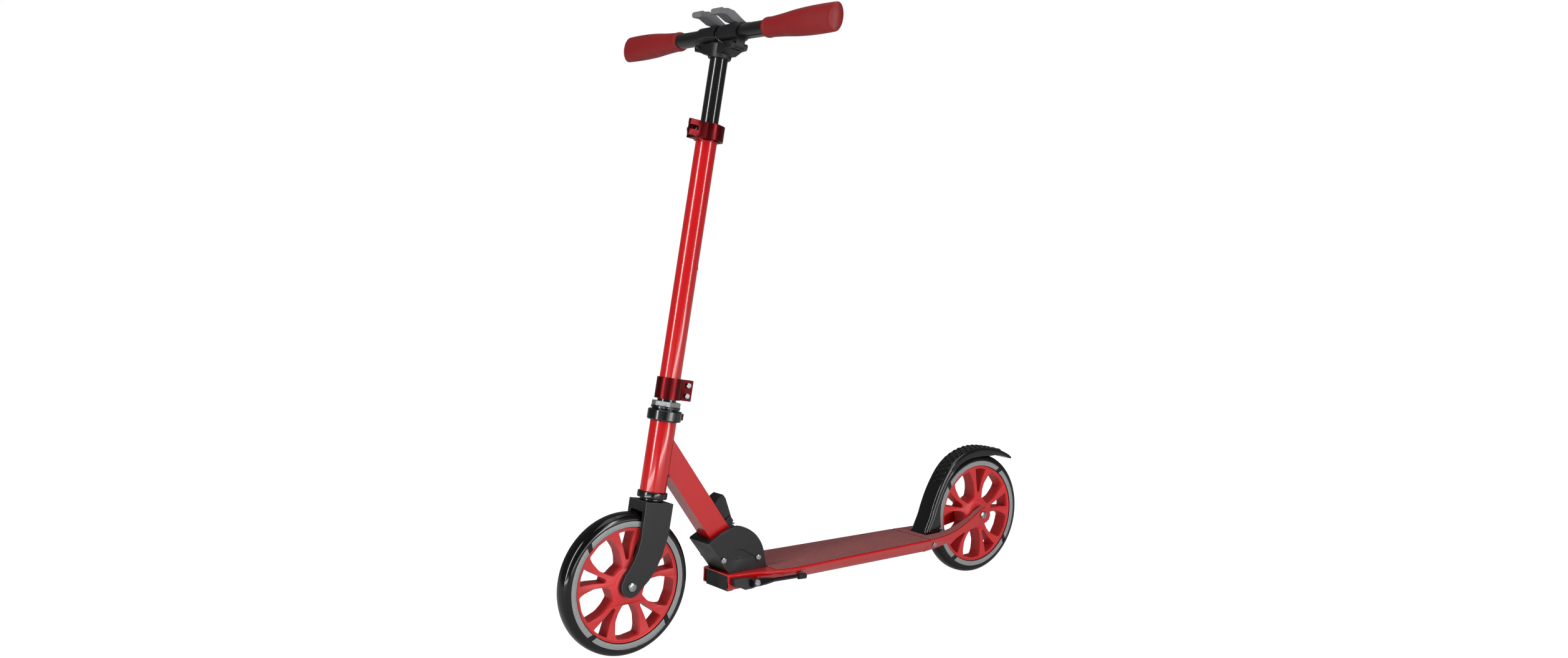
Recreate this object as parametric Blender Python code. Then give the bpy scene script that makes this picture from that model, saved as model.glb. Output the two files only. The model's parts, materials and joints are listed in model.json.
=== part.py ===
"""Folding kick scooter with 200 mm wheels: one object per real piece.

Row frame, metres: +X is the way the scooter rolls, +Y the rider's left, +Z up.
The origin is on the ground, midway between the two axles.

Four groups of pieces move against each other. The deck group carries the rear
wheel. The stem group (down tube and head tube) folds on the pivot in the deck's
housing. The steering group (fork, front wheel, outer tube) turns in the head
tube. The telescoping group (inner tube, T-head, handlebars) slides in the outer
tube.
"""
import math

import bmesh
import bpy
from mathutils import Matrix, Vector
from mathutils.geometry import tessellate_polygon

GAP = 0.0003                # clearance between pieces that touch
RUN = 0.0007                # clearance between pieces that move past each other

# wheels
WHEEL_R = 0.100
WHEELBASE = 0.686
NOSE = WHEELBASE / 2 - 0.343    # outlines ahead of mid-deck move forward by this, the rest back
TYRE_HALF = 0.0142          # half width over the reflective rings
CORE_R = 0.0802             # outside of the core's rim
CORE_HALF = 0.0118          # half width of the spokes
RIM_HALF = 0.0130
RIM_IN = 0.0776             # inside of the raised rim
HUB_R = 0.0235
HUB_HALF = 0.0150
BEARING_R = 0.0110          # 608 bearings: 22 mm outside, 8 mm bore
BEARING_W = 0.0070
AXLE_R = 0.0037
RING_OUT = 0.0889
RING_IN = 0.0812
RING_THICK = 0.0008
SPOKE_PAIRS = 5

# steering axis: passes (STEER_X, 0, WHEEL_R) and leans back by RAKE
RAKE = math.radians(11.025)
STEER_X = 0.3173 + NOSE
CROWN_TOP = 0.1118          # stations below are distances along the steering axis
CROWN_DEEP = 0.0133
FORK_HALF = 0.0222
FORK_INNER = 0.0157
HEAD_R = 0.0185
HEAD_WALL = 0.0020
HEAD_LOW = 0.1251
HEAD_HIGH = 0.2240
STEERER_R = 0.0132
STEERER_TOP = 0.2900
NUT_FLATS = 0.0360
NUT_LOW = 0.2449
NUT_HIGH = 0.2512
OUTER_R = 0.0150            # outer column tube
OUTER_WALL = 0.0015
OUTER_LOW = 0.2560
OUTER_HIGH = 0.6400
CLAMP_LOW = 0.2548
CLAMP_HIGH = 0.2845
CLAMP_R = OUTER_R + 0.0032
QUICK_LOW = OUTER_HIGH - 0.0210
QUICK_HIGH = OUTER_HIGH + 0.0040
BUTTON_AT = 0.4418
INNER_R = 0.0126            # telescoping inner tube
INNER_WALL = 0.0015
INNER_LOW = 0.4000
BAR_AT = 0.7716             # handlebar axis along the steering axis

# handlebar, as seen from its centre: forward, left, up the steering axis
BAR_R = 0.0110
BAR_WALL = 0.0015
BAR_END = 0.2400
GRIP_START = 0.1040
HINGE_Y = 0.0400            # folding pin of each half handlebar
HINGE_DROP = BAR_R + 0.0075
SLEEVE_R = BAR_R + 0.0025
SLEEVE_IN = 0.0035
SLEEVE_OUT = 0.0475
LATCH_BACK = BAR_R + 0.0070
LATCH_UP = BAR_R + 0.0015
LATCH_FROM = 0.0125
LATCH_TO = 0.0335

# fold joint and down tube
PIVOT = Vector((0.1640 + NOSE, 0.0, 0.1125))
STEM_ANGLE = math.radians(55.7)
TUBE_HALF_Y = 0.0146
TUBE_HALF_H = 0.0172
TUBE_WALL = 0.0020
TUBE_START = 0.0213
CHEEK_HALF = 0.0252
CHEEK_IN = CHEEK_HALF - 0.0060
PIN_R = 0.0040
FOLD_BOLTS = ((0.1905 + NOSE, 0.1115), (0.1285 + NOSE, 0.1063))
LEVER_AT = (0.0480, 0.0240)  # lever pin: along the down tube, above its centre line

# deck
DECK_Z = 0.09039            # height of the deck's top face at its front end
DECK_RISE = 0.00769         # how much higher its front end is than its rear end
DECK_DEEP = 0.0225
DECK_FRONT = 0.1864 + NOSE
DECK_REAR = -0.2022 - NOSE
DECK_SLOPE = DECK_RISE / (DECK_FRONT - DECK_REAR)
DECK_WALL = 0.0022
DECK_AHEAD = (
    (0.1864, 0.0316), (0.1780, 0.0337), (0.1560, 0.0378), (0.1370, 0.0426),
    (0.1190, 0.0478), (0.1000, 0.0522), (0.0750, 0.0548), (0.0500, 0.0546),
    (0.0300, 0.0536))
DECK_BEHIND = ((-0.0600, 0.0504), (-0.1300, 0.0487), (-0.2022, 0.0468))
DECK_STATIONS = (tuple((x + NOSE, half) for x, half in DECK_AHEAD)
                 + tuple((x - NOSE, half) for x, half in DECK_BEHIND))
SHEET = 0.0008              # grip sheet
ARM_FACE = 0.0280           # outer face of a rear arm at the axle
SLOT_HALF = 0.0188
ROD_AT = (-0.2136 - NOSE, 0.0735)  # fender hinge rod: x, z
ROD_R = 0.0025

# kickstand
KICK_OUT = 0.00443          # pivot outside the deck's flank where the folded shoe lies
KICK_PIVOT = (0.1505 + NOSE, 0.0769)
KICK_SPLAY = math.radians(15.0)    # the pivot's lean, which throws the foot outward
KICK_DROOP = math.radians(2.8)     # the folded leg's slope toward the rear
KICK_THICK = 0.0040                # half thickness of the leg's flat eye
KICK_REACH = 0.0890                # pivot to the middle of the shoe

REAR_X = -WHEELBASE / 2


# ------------------------------------------------------------------ helpers
def clear_scene():
    for obj in list(bpy.data.objects):
        bpy.data.objects.remove(obj, do_unlink=True)


def make_material(name, colour, roughness, metallic=0.0):
    mat = bpy.data.materials.new(name)
    mat.use_nodes = True
    shader = mat.node_tree.nodes["Principled BSDF"]
    shader.inputs["Base Color"].default_value = (*colour, 1.0)
    shader.inputs["Roughness"].default_value = roughness
    shader.inputs["Metallic"].default_value = metallic
    mat.diffuse_color = (*colour, 1.0)
    return mat


def add(name, verts, faces, kind, frame=None, bevel=0.0, angle=35.0):
    """Link one closed mesh whose vertices are given in its own frame."""
    mesh = bpy.data.meshes.new(name)
    mesh.from_pydata([tuple(v) for v in verts], [], faces)
    work = bmesh.new()
    work.from_mesh(mesh)
    bmesh.ops.remove_doubles(work, verts=work.verts, dist=1e-7)
    bmesh.ops.recalc_face_normals(work, faces=work.faces)
    work.to_mesh(mesh)
    work.free()
    mesh.polygons.foreach_set("use_smooth", [True] * len(mesh.polygons))
    mesh.set_sharp_from_angle(angle=math.radians(angle))
    obj = bpy.data.objects.new(name, mesh)
    bpy.context.scene.collection.objects.link(obj)
    obj.matrix_world = frame if frame is not None else Matrix.Identity(4)
    colour, roughness, metallic = KINDS[kind]
    obj.data.materials.append(make_material(name, colour, roughness, metallic))
    if bevel:
        mod = obj.modifiers.new("edge", "BEVEL")
        mod.width = bevel
        mod.segments = 1
        mod.limit_method = "ANGLE"
        mod.angle_limit = math.radians(40.0)
    return obj


def cut(target, tool, operation="DIFFERENCE"):
    """Keep the tool as a hidden cutter of the target, applied before any edge bevel."""
    tool.hide_render = True
    tool.display_type = "WIRE"
    tool.parent = target
    tool.matrix_parent_inverse = target.matrix_world.inverted()
    mod = target.modifiers.new(tool.name, "BOOLEAN")
    mod.operation = operation
    mod.solver = "EXACT"
    mod.object = tool
    last = len(target.modifiers) - 1
    if last and target.modifiers[last - 1].type == "BEVEL":
        target.modifiers.move(last, last - 1)


def circle(radius, steps, centre=(0.0, 0.0), start=0.0):
    out = []
    for i in range(steps):
        turn = start + 2 * math.pi * i / steps
        out.append((centre[0] + radius * math.cos(turn), centre[1] + radius * math.sin(turn)))
    return out


def arc(radius, first, last, steps, centre=(0.0, 0.0)):
    """Points on an arc, ends included, angles in degrees."""
    out = []
    for i in range(steps + 1):
        turn = math.radians(first + (last - first) * i / steps)
        out.append((centre[0] + radius * math.cos(turn), centre[1] + radius * math.sin(turn)))
    return out


def plate_mesh(outer, holes, low, high, lay):
    """Prism of an outline with holes; lay maps (u, v, w) to a point."""
    loops = [list(outer)] + [list(hole) for hole in holes]
    flat = [point for loop in loops for point in loop]
    count = len(flat)
    tris = tessellate_polygon([[Vector((u, v, 0.0)) for u, v in loop] for loop in loops])
    verts = [lay(u, v, low) for u, v in flat] + [lay(u, v, high) for u, v in flat]
    faces = [tuple(tri) for tri in tris]
    faces += [tuple(i + count for i in reversed(tri)) for tri in tris]
    start = 0
    for loop in loops:
        size = len(loop)
        for i in range(size):
            a = start + i
            b = start + (i + 1) % size
            faces.append((a, b, b + count, a + count))
        start += size
    return verts, faces


def side(u, v, w):
    """Outline drawn in x and z, thickness along y."""
    return (u, w, v)


def plan(u, v, w):
    """Outline drawn in x and y, thickness along z."""
    return (u, v, w)


def front(u, v, w):
    """Outline drawn in y and z, thickness along x."""
    return (w, u, v)


def prism(name, outline, low, high, kind, lay=side, frame=None, holes=(), bevel=0.0):
    verts, faces = plate_mesh(outline, holes, low, high, lay)
    return add(name, verts, faces, kind, frame, bevel)


def turned_mesh(profile, steps, closed):
    """Turn (radius, height) points about the third axis."""
    verts = []
    faces = []
    count = len(profile)
    for radius, height in profile:
        for i in range(steps):
            turn = 2 * math.pi * i / steps
            verts.append((radius * math.cos(turn), radius * math.sin(turn), height))
    last = count if closed else count - 1
    for row in range(last):
        low = row * steps
        high = ((row + 1) % count) * steps
        for i in range(steps):
            j = (i + 1) % steps
            faces.append((low + i, low + j, high + j, high + i))
    if not closed:
        faces.append(tuple(range(steps - 1, -1, -1)))
        faces.append(tuple(range((count - 1) * steps, count * steps)))
    return verts, faces


def turned(name, profile, kind, frame=None, steps=32, closed=True, across=False, bevel=0.0):
    """Turned piece; across lays its axis along y instead of z."""
    verts, faces = turned_mesh(profile, steps, closed)
    if across:
        verts = [(x, z, y) for x, y, z in verts]
    return add(name, verts, faces, kind, frame, bevel)


def tube_profile(outer, inner, low, high):
    return [(inner, low), (outer, low), (outer, high), (inner, high)]


def steering(forward=0.0, left=0.0, along=0.0):
    """Frame whose axes are forward, left and up the steering axis."""
    turn = Matrix.Rotation(-RAKE, 4, "Y")
    base = Matrix.Translation((STEER_X, 0.0, WHEEL_R)) @ turn
    return base @ Matrix.Translation((forward, left, along))


def stem(along=0.0, up=0.0):
    """Frame whose axes run up the down tube, left, and out of its rear face."""
    turn = Matrix.Rotation(-STEM_ANGLE, 4, "Y")
    return Matrix.Translation(PIVOT) @ turn @ Matrix.Translation((along, 0.0, up))


def at(x, y, z):
    return Matrix.Translation((x, y, z))


def ahead(points):
    """Outline of a front piece, moved with the front axle."""
    return [(x + NOSE, z) for x, z in points]


def deck_top(x):
    return DECK_Z + DECK_SLOPE * (x - DECK_FRONT)


def deck_half(x):
    """Half width of the deck's top face."""
    for (x1, w1), (x0, w0) in zip(DECK_STATIONS, DECK_STATIONS[1:]):
        if x0 <= x <= x1:
            return w0 + (w1 - w0) * (x - x0) / (x1 - x0)
    return DECK_STATIONS[0][1] if x > DECK_FRONT else DECK_STATIONS[-1][1]


def deck_base(x):
    """Half width of the deck's underside."""
    return 0.0300 + 0.0014 * (x - DECK_REAR) / (DECK_FRONT - DECK_REAR)


# ------------------------------------------------------------------- wheels
def window_outlines():
    """Five large openings and five small ones between the paired spokes."""
    outlines = []
    for i in range(SPOKE_PAIRS):
        middle = 270.0 + 72.0 * i
        large = ((0.0270, -21), (0.0400, -23), (0.0520, -22.5), (0.0680, -18), (0.0764, -15),
                 (0.0764, 0), (0.0764, 15), (0.0680, 18), (0.0520, 22.5), (0.0400, 23), (0.0270, 21),
                 (0.0262, 0))
        small = ((0.0350, -4.5), (0.0560, -6.8), (0.0764, -10), (0.0764, 0), (0.0764, 10),
                 (0.0560, 6.8), (0.0350, 4.5))
        outlines.append([polar(r, middle + a) for r, a in large])
        outlines.append([polar(r, middle + 36.0 + a) for r, a in small])
    return outlines


def polar(radius, degrees):
    turn = math.radians(degrees)
    return (radius * math.cos(turn), radius * math.sin(turn))


def wheel_core(name, frame, turn):
    """Spoked disc with a raised rim and a raised hub, bored for the bearings."""
    spin = Matrix.Rotation(-math.radians(turn), 4, "Y")
    rim = circle(RIM_IN, 60)
    hub = circle(HUB_R, 24)
    loops = [rim, hub] + window_outlines()
    flat = [point for loop in loops for point in loop]
    tris = tessellate_polygon([[Vector((u, v, 0.0)) for u, v in loop] for loop in loops])
    verts = []
    faces = []
    rings = []
    for sign in (-1, 1):
        start = len(verts)
        verts += [(u, sign * CORE_HALF, v) for u, v in flat]
        faces += [tuple(start + i for i in tri) for tri in tris]
        rings.append(start)
    count = len(flat)
    begin = len(rim) + len(hub)
    for outline in loops[2:]:
        size = len(outline)
        for i in range(size):
            a = begin + i
            b = begin + (i + 1) % size
            faces.append((a, b, b + count, a + count))
        begin += size
    rim_rows = [rings[0]]
    hub_rows = [rings[0] + len(rim)]
    for radius, half in ((RIM_IN + 0.0006, -RIM_HALF), (CORE_R, -RIM_HALF),
                         (CORE_R, RIM_HALF), (RIM_IN + 0.0006, RIM_HALF)):
        rim_rows.append(len(verts))
        verts += [(u, half, v) for u, v in circle(radius, 60)]
    rim_rows.append(rings[1])
    for radius, half in ((HUB_R - 0.0020, -HUB_HALF), (BEARING_R + GAP, -HUB_HALF),
                         (BEARING_R + GAP, HUB_HALF), (HUB_R - 0.0020, HUB_HALF)):
        hub_rows.append(len(verts))
        verts += [(u, half, v) for u, v in circle(radius, 24)]
    hub_rows.append(rings[1] + len(rim))
    for rows, size in ((rim_rows, 60), (hub_rows, 24)):
        for low, high in zip(rows, rows[1:]):
            for i in range(size):
                j = (i + 1) % size
                faces.append((low + i, low + j, high + j, high + i))
    return add(name, verts, faces, "core_red", frame @ spin)


def wheel_tyre(name, frame):
    face = TYRE_HALF - RING_THICK - GAP
    half = ((CORE_R + GAP, face - 0.0008), (RING_IN - GAP, face), (RING_OUT + GAP, face),
            (RING_OUT + 0.0010, TYRE_HALF), (0.0945, TYRE_HALF - 0.0015),
            (0.0982, TYRE_HALF - 0.0058), (WHEEL_R, TYRE_HALF - 0.0125))
    profile = [(r, h) for r, h in half] + [(r, -h) for r, h in reversed(half)]
    return turned(name, profile, "tyre_black", frame, steps=52, across=True)


def wheel_ring(name, frame, sign, turn):
    """Reflective ring with four narrow nicks in its outer edge."""
    outer = []
    for i in range(4):
        middle = 45.0 + turn + 90.0 * i
        outer += arc(RING_OUT, middle + 3.0, middle + 87.0, 10)
        outer += [polar(RING_IN + 0.0016, middle + 90.0 + a) for a in (-1.6, 1.6)]
    verts, faces = plate_mesh(outer, [circle(RING_IN, 48)], TYRE_HALF - RING_THICK, TYRE_HALF, side)
    verts = [(x, sign * y, z) for x, y, z in verts]
    return add(name, verts, faces, "ring_grey", frame)


def wheel_bearing(name, frame, sign):
    low = HUB_HALF - BEARING_W
    profile = [(AXLE_R + GAP, low), (BEARING_R, low), (BEARING_R, HUB_HALF - 0.0006),
               (BEARING_R - 0.0020, HUB_HALF - 0.0010), (AXLE_R + 0.0024, HUB_HALF - 0.0010),
               (AXLE_R + 0.0020, HUB_HALF), (AXLE_R + GAP, HUB_HALF)]
    profile = [(r, sign * h) for r, h in profile]
    return turned(name, profile, "steel", frame, steps=20, across=True)


def wheel(prefix, frame, turn, nick):
    wheel_core(prefix + "_core", frame, turn)
    wheel_tyre(prefix + "_tyre", frame)
    wheel_ring(prefix + "_ring_left", frame, 1, nick)
    wheel_ring(prefix + "_ring_right", frame, -1, nick)
    wheel_bearing(prefix + "_bearing_left", frame, 1)
    wheel_bearing(prefix + "_bearing_right", frame, -1)


def axle(name, frame, face, proud):
    """Axle bolt with a button head on the left and a nut on the right."""
    head = face + GAP
    profile = [(0.0040, -head - proud), (0.0062, -head - proud + 0.0008), (0.0062, -head),
               (AXLE_R, -head), (AXLE_R, head), (0.0064, head), (0.0064, head + proud * 0.5),
               (0.0050, head + proud)]
    return turned(name, profile, "steel", frame, steps=24, closed=False, across=True)


# --------------------------------------------------------------------- fork
def fork():
    """Crown and two swept legs, slotted for the wheel."""
    foot = (0.0252, -0.0049)
    outline = [(0.0221, CROWN_TOP), (-0.0230, CROWN_TOP), (-0.0228, 0.0700), (-0.0207, 0.0583),
               (-0.0177, 0.0408), (-0.0120, 0.0232), (-0.0018, 0.0040)]
    outline += arc(0.0157, 205.0, 385.0, 12, foot)
    outline += [(0.0375, 0.0100), (0.0330, 0.0170), (0.0269, 0.0310), (0.0230, 0.0440),
                (0.0213, 0.0600), (0.0218, 0.0800)]
    hole = circle(AXLE_R + GAP, 16, foot)
    body = prism("fork", outline, -FORK_HALF, FORK_HALF, "cast_black", side, steering(),
                 holes=[hole], bevel=0.0008)
    ceiling = CROWN_TOP - CROWN_DEEP
    slot = [(-0.05, -0.05), (0.06, -0.05), (0.06, ceiling), (-0.05, ceiling)]
    cut(body, prism("fork_slot", slot, -FORK_INNER, FORK_INNER, "cast_black", side, steering()))
    return body


def headset():
    bore = STEERER_R + GAP
    turned("crown_race", tube_profile(0.0165, bore, CROWN_TOP + GAP, 0.1155), "gloss_black",
           steering(), steps=28)
    cup = [(bore, 0.1158), (0.0190, 0.1158), (0.0212, 0.1172), (0.0212, HEAD_LOW - GAP),
           (bore, HEAD_LOW - GAP)]
    turned("lower_cup", cup, "gloss_black", steering())
    low = HEAD_HIGH + GAP
    lug = 0.0060
    cup = turned("upper_cup", [(0.0228, low), (0.0240, low + 0.0015), (0.0240, 0.2382),
                               (0.0226, 0.2396), (0.0190, 0.2397), (0.0190, 0.2408),
                               (0.0206, 0.2412), (0.0208, NUT_LOW - GAP)],
                 "gloss_black", steering(), steps=32, closed=False)
    block = [(-0.0285, -lug), (-0.0180, -lug), (-0.0180, lug), (-0.0285, lug)]
    cut(cup, prism("upper_cup_lug", block, low + 0.0030, 0.2368, "gloss_black", plan, steering()),
        "UNION")
    cut(cup, turned("upper_cup_bore", [(bore, low - 0.01), (bore, NUT_LOW + 0.01)], "gloss_black",
                    steering(), steps=26, closed=False))
    corner = NUT_FLATS / 2 / math.cos(math.radians(30.0))
    prism("lock_nut", circle(corner, 6, start=math.radians(12.0)), NUT_LOW, NUT_HIGH, "steel",
          plan, steering(), holes=[circle(bore, 24)])
    turned("steerer", tube_profile(STEERER_R, STEERER_R - 0.0020, CROWN_TOP + GAP, STEERER_TOP),
           "satin_black", steering(), steps=28)


# ------------------------------------------------------------------- column
def split_ring(outer, inner, slit, ear_from, ear_to, ear_half, away):
    """Clamp outline: ring with a slit and two ears, away is +1 forward, -1 rearward."""
    turn = math.degrees(math.asin(ear_half / outer))
    turn_in = math.degrees(math.asin(slit / inner))
    base = 0.0 if away > 0 else 180.0
    points = arc(outer, base + turn, base + 360.0 - turn, 24)
    points += [(away * ear_to, -away * ear_half), (away * ear_to, -away * slit)]
    points += arc(inner, base + 360.0 - turn_in, base + turn_in, 22)
    points += [(away * ear_to, away * slit), (away * ear_to, away * ear_half)]
    return points


def column():
    outer = turned("outer_tube", tube_profile(OUTER_R, OUTER_R - OUTER_WALL, OUTER_LOW, OUTER_HIGH),
                   "gloss_red", steering(), steps=32)
    hole = turned("button_hole", [(0.0031, -0.0200), (0.0031, -0.0100)], "gloss_red",
                  steering(0.0, 0.0, BUTTON_AT) @ Matrix.Rotation(math.radians(90), 4, "Y"),
                  steps=16, closed=False)
    cut(outer, hole)
    knob = [(0.0027, 0.0137), (0.0027, 0.0160), (0.0018, 0.0172)]
    verts, faces = turned_mesh(knob, 16, False)
    verts = [(-z, y, x) for x, y, z in verts]
    add("height_button", verts, faces, "gloss_black", steering(0.0, 0.0, BUTTON_AT))
    ring = split_ring(CLAMP_R, OUTER_R + GAP, 0.0008, 0.0165, 0.0375, 0.0045, -1)
    clamp = prism("lower_clamp", ring, CLAMP_LOW, CLAMP_HIGH, "deep_red", plan, steering())
    for i, height in enumerate((0.2622, 0.2772)):
        centre = steering(-0.0290, 0.0, height)
        cut(clamp, turned("clamp_hole_%d" % i, [(0.0028, -0.0100), (0.0028, 0.0100)], "steel",
                          centre, steps=16, closed=False, across=True))
        screw = [(0.0030, -0.0072), (0.0042, -0.0066), (0.0042, -0.0048), (0.0025, -0.0048),
                 (0.0025, 0.0048), (0.0042, 0.0048), (0.0042, 0.0070), (0.0034, 0.0078)]
        turned("clamp_screw_%d" % (i + 1), screw, "steel", centre, steps=14, closed=False,
               across=True)


def quick_clamp():
    """Upper clamp with forward ears, its cross bolt and its curved lever."""
    ring = split_ring(CLAMP_R, OUTER_R + GAP, 0.0012, 0.0165, 0.0300, 0.0065, 1)
    body = prism("upper_clamp", ring, QUICK_LOW, QUICK_HIGH, "deep_red", plan, steering())
    centre = steering(0.0245, 0.0, (QUICK_LOW + QUICK_HIGH) / 2)
    cut(body, turned("upper_clamp_hole", [(0.0029, -0.0120), (0.0029, 0.0120)], "steel", centre,
                     steps=16, closed=False, across=True))
    bolt = [(0.0035, -0.0110), (0.0048, -0.0102), (0.0048, -0.0068), (0.0026, -0.0068),
            (0.0026, 0.0104), (0.0020, 0.0108)]
    turned("upper_clamp_bolt", bolt, "steel", centre, steps=20, closed=False, across=True)
    quick_lever()


def quick_lever():
    """Lever hugging the left of the clamp; it swings on a pin beside the left ear."""
    pin = Vector((0.0245, 0.0130))
    inner = [(x - pin.x, y - pin.y) for x, y in arc(CLAMP_R + 0.0010, 46.0, 178.0, 14)]
    outer = [(x - pin.x, y - pin.y) for x, y in arc(CLAMP_R + 0.0048, 178.0, 52.0, 14)]
    nose = [(0.0000, 0.0066), (0.0070, 0.0060), (0.0185, 0.0048), (0.0190, 0.0005)]
    nose += arc(0.0058, 5.0, -120.0, 7)
    middle = (QUICK_LOW + QUICK_HIGH) / 2
    frame = steering(pin.x, pin.y, middle)
    body = prism("clamp_lever", inner + outer + nose, -0.0110, 0.0110, "deep_red", plan, frame,
                 bevel=0.0008)
    slot = [(0.0045, -0.0100), (0.0300, -0.0100), (0.0300, 0.0100), (0.0045, 0.0100)]
    notch = prism("lever_notch", slot, -0.0030, 0.0030, "deep_red", plan, frame)
    cut(body, notch)
    well = [(-0.0042, -0.0100), (0.0090, -0.0100), (0.0090, -0.0030), (0.0045, 0.0010),
            (-0.0010, 0.0010), (-0.0042, -0.0005)]
    cut(body, prism("lever_well", well, -0.0042, 0.0042, "deep_red", plan, frame))


def telescope():
    top = BAR_AT - HINGE_DROP + 0.0005
    turned("inner_tube", tube_profile(INNER_R, INNER_R - INNER_WALL, INNER_LOW, top),
           "satin_black", steering(), steps=28)


# ---------------------------------------------------------------- handlebar
def bar_frame(y=0.0, forward=0.0, up=0.0):
    return steering(forward, y, BAR_AT + up)


def t_head():
    """Socket on the inner tube with a fork for the hinge of each half handlebar."""
    frame = bar_frame(0.0, 0.0, 0.0185 - HINGE_DROP)
    low = -0.0348
    socket = turned("t_head", [(0.0160, low), (0.0170, low + 0.0030), (0.0170, -0.0162),
                               (0.0150, -0.0142)],
                    "cast_black", frame, steps=26, closed=False)
    reach = HINGE_Y + 0.0060
    wing = [(-reach, -0.0185), (-reach + 0.0018, -0.0235), (-0.0330, -0.0245), (-0.0200, -0.0300),
            (0.0200, -0.0300), (0.0330, -0.0245), (reach - 0.0018, -0.0235), (reach, -0.0185),
            (reach - 0.0018, -0.0148), (-reach + 0.0018, -0.0148)]
    holes = [circle(0.0023, 14, (sign * HINGE_Y, -0.0185), 0.1) for sign in (-1, 1)]
    bore = turned("t_head_bore", [(INNER_R + GAP, -0.0500), (INNER_R + GAP, -0.0174)], "cast_black",
                  frame, steps=24, closed=False)
    wings = prism("t_head_wings", wing, -0.0135, 0.0135, "cast_black", front, frame, holes=holes)
    cut(socket, wings, "UNION")
    cut(socket, bore)
    for sign, label in ((1, "left"), (-1, "right")):
        slot = [(sign * 0.0325, -0.0400), (sign * 0.0600, -0.0400), (sign * 0.0600, 0.0),
                (sign * 0.0325, 0.0)]
        cut(socket, prism("t_head_slot_" + label, slot, -0.0078, 0.0078, "cast_black", front,
                          frame))


def half_bar(sign, label):
    """One half handlebar: hinge pin, sleeve with knuckle, tube, grip and top latch."""
    pivot = bar_frame(sign * HINGE_Y, 0.0, -HINGE_DROP)

    def local(y, up):
        return (sign * y - sign * HINGE_Y, up + HINGE_DROP)

    pin = [(0.0020, -0.0128), (0.0020, 0.0128)]
    verts, faces = turned_mesh(pin, 14, False)
    verts = [(z, y, x) for x, y, z in verts]
    add("hinge_pin_" + label, verts, faces, "steel", pivot)

    ear = (-LATCH_BACK, LATCH_UP)
    outline = arc(SLEEVE_R, -138.0, 92.0, 22)
    outline += [(-0.0060, SLEEVE_R + 0.0015), (0.0060 - LATCH_BACK, LATCH_UP + 0.0045)]
    outline += arc(0.0042, 100.0, 270.0, 6, ear)
    outline += [(-SLEEVE_R - 0.0005, 0.0020)]
    pin_hole = circle(0.0019, 12, ear)
    shift = Matrix.Translation((0.0, -sign * HINGE_Y, HINGE_DROP))
    low, high = sorted((sign * SLEEVE_IN, sign * SLEEVE_OUT))
    sleeve = prism("bar_sleeve_" + label, outline, low, high, "cast_black", side,
                   pivot @ shift, holes=[pin_hole])
    back = -SLEEVE_R - 0.0001
    recess = [(-0.0400, -0.0020), (back, -0.0020), (back, 0.0300), (-0.0400, 0.0300)]
    low, high = sorted((sign * (LATCH_FROM - RUN), sign * (LATCH_TO + RUN)))
    cut(sleeve, prism("sleeve_recess_" + label, recess, low, high, "cast_black", side,
                      pivot @ shift))
    crown = BAR_R + 0.0019
    top = [(-0.0400, crown), (0.0300, crown), (0.0300, 0.0400), (-0.0400, 0.0400)]
    cut(sleeve, prism("sleeve_top_" + label, top, low, high, "cast_black", side, pivot @ shift))
    bite = 0.0005 - BAR_R
    knuckle = [local(HINGE_Y + 0.0065, bite), local(HINGE_Y - 0.0055, bite)]
    knuckle += [local(HINGE_Y - 0.0055, -HINGE_DROP - 0.0005)]
    knuckle += [(sign * u, v) for u, v in arc(0.0055, 185.0, 355.0, 8)]
    verts, faces = plate_mesh(knuckle, [circle(0.0023, 14)], -0.0072, 0.0072, front)
    tool = add("knuckle_" + label, verts, faces, "cast_black", pivot)
    cut(sleeve, tool, "UNION")
    bore = [(BAR_R + GAP, sign * (SLEEVE_IN - 0.01)), (BAR_R + GAP, sign * (SLEEVE_OUT + 0.01))]
    cut(sleeve, turned("sleeve_bore_" + label, bore, "cast_black", pivot @ shift, steps=24,
                       closed=False, across=True))

    tube = tube_profile(BAR_R, BAR_R - BAR_WALL, 0.0015, BAR_END)
    tube = [(r, sign * h) for r, h in tube]
    turned("handlebar_" + label, tube, "satin_black", pivot @ shift, steps=24, across=True)
    grip(sign, label, pivot @ shift)
    latch(sign, label)


def grip(sign, label, frame):
    """Palm grip: an oval sleeve, thickest at two thirds, with a closed flat end."""
    stations = ((0.0, 0.0128, 0.0128), (0.0022, 0.0140, 0.0140), (0.0060, 0.0138, 0.0136),
                (0.0200, 0.0142, 0.0133), (0.0400, 0.0158, 0.0150), (0.0640, 0.0180, 0.0168),
                (0.0900, 0.0196, 0.0168), (0.1150, 0.0204, 0.0154), (0.1330, 0.0208, 0.0142),
                (0.1412, 0.0205, 0.0140), (0.1435, 0.0192, 0.0128))
    steps = 20
    verts = []
    faces = []
    grow = BAR_R - 0.0110
    for along, wide, tall in stations:
        for u, v in circle(1.0, steps):
            verts.append((u * (wide + grow), sign * (GRIP_START + along), v * (tall + grow)))
    inside = BAR_R + GAP
    for along in (BAR_END + 0.0008 - GRIP_START, 0.0):
        for u, v in circle(inside, steps):
            verts.append((u, sign * (GRIP_START + along), v))
    rows = len(stations)
    order = list(range(rows))
    for low, high in zip(order, order[1:]):
        for i in range(steps):
            j = (i + 1) % steps
            faces.append((low * steps + i, low * steps + j, high * steps + j, high * steps + i))
    faces.append(tuple((rows - 1) * steps + i for i in range(steps)))
    faces.append(tuple(rows * steps + i for i in reversed(range(steps))))
    for low, high in ((rows, rows + 1), (rows + 1, 0)):
        for i in range(steps):
            j = (i + 1) % steps
            faces.append((low * steps + i, low * steps + j, high * steps + j, high * steps + i))
    add("grip_" + label, verts, faces, "grip_red", frame)


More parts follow.
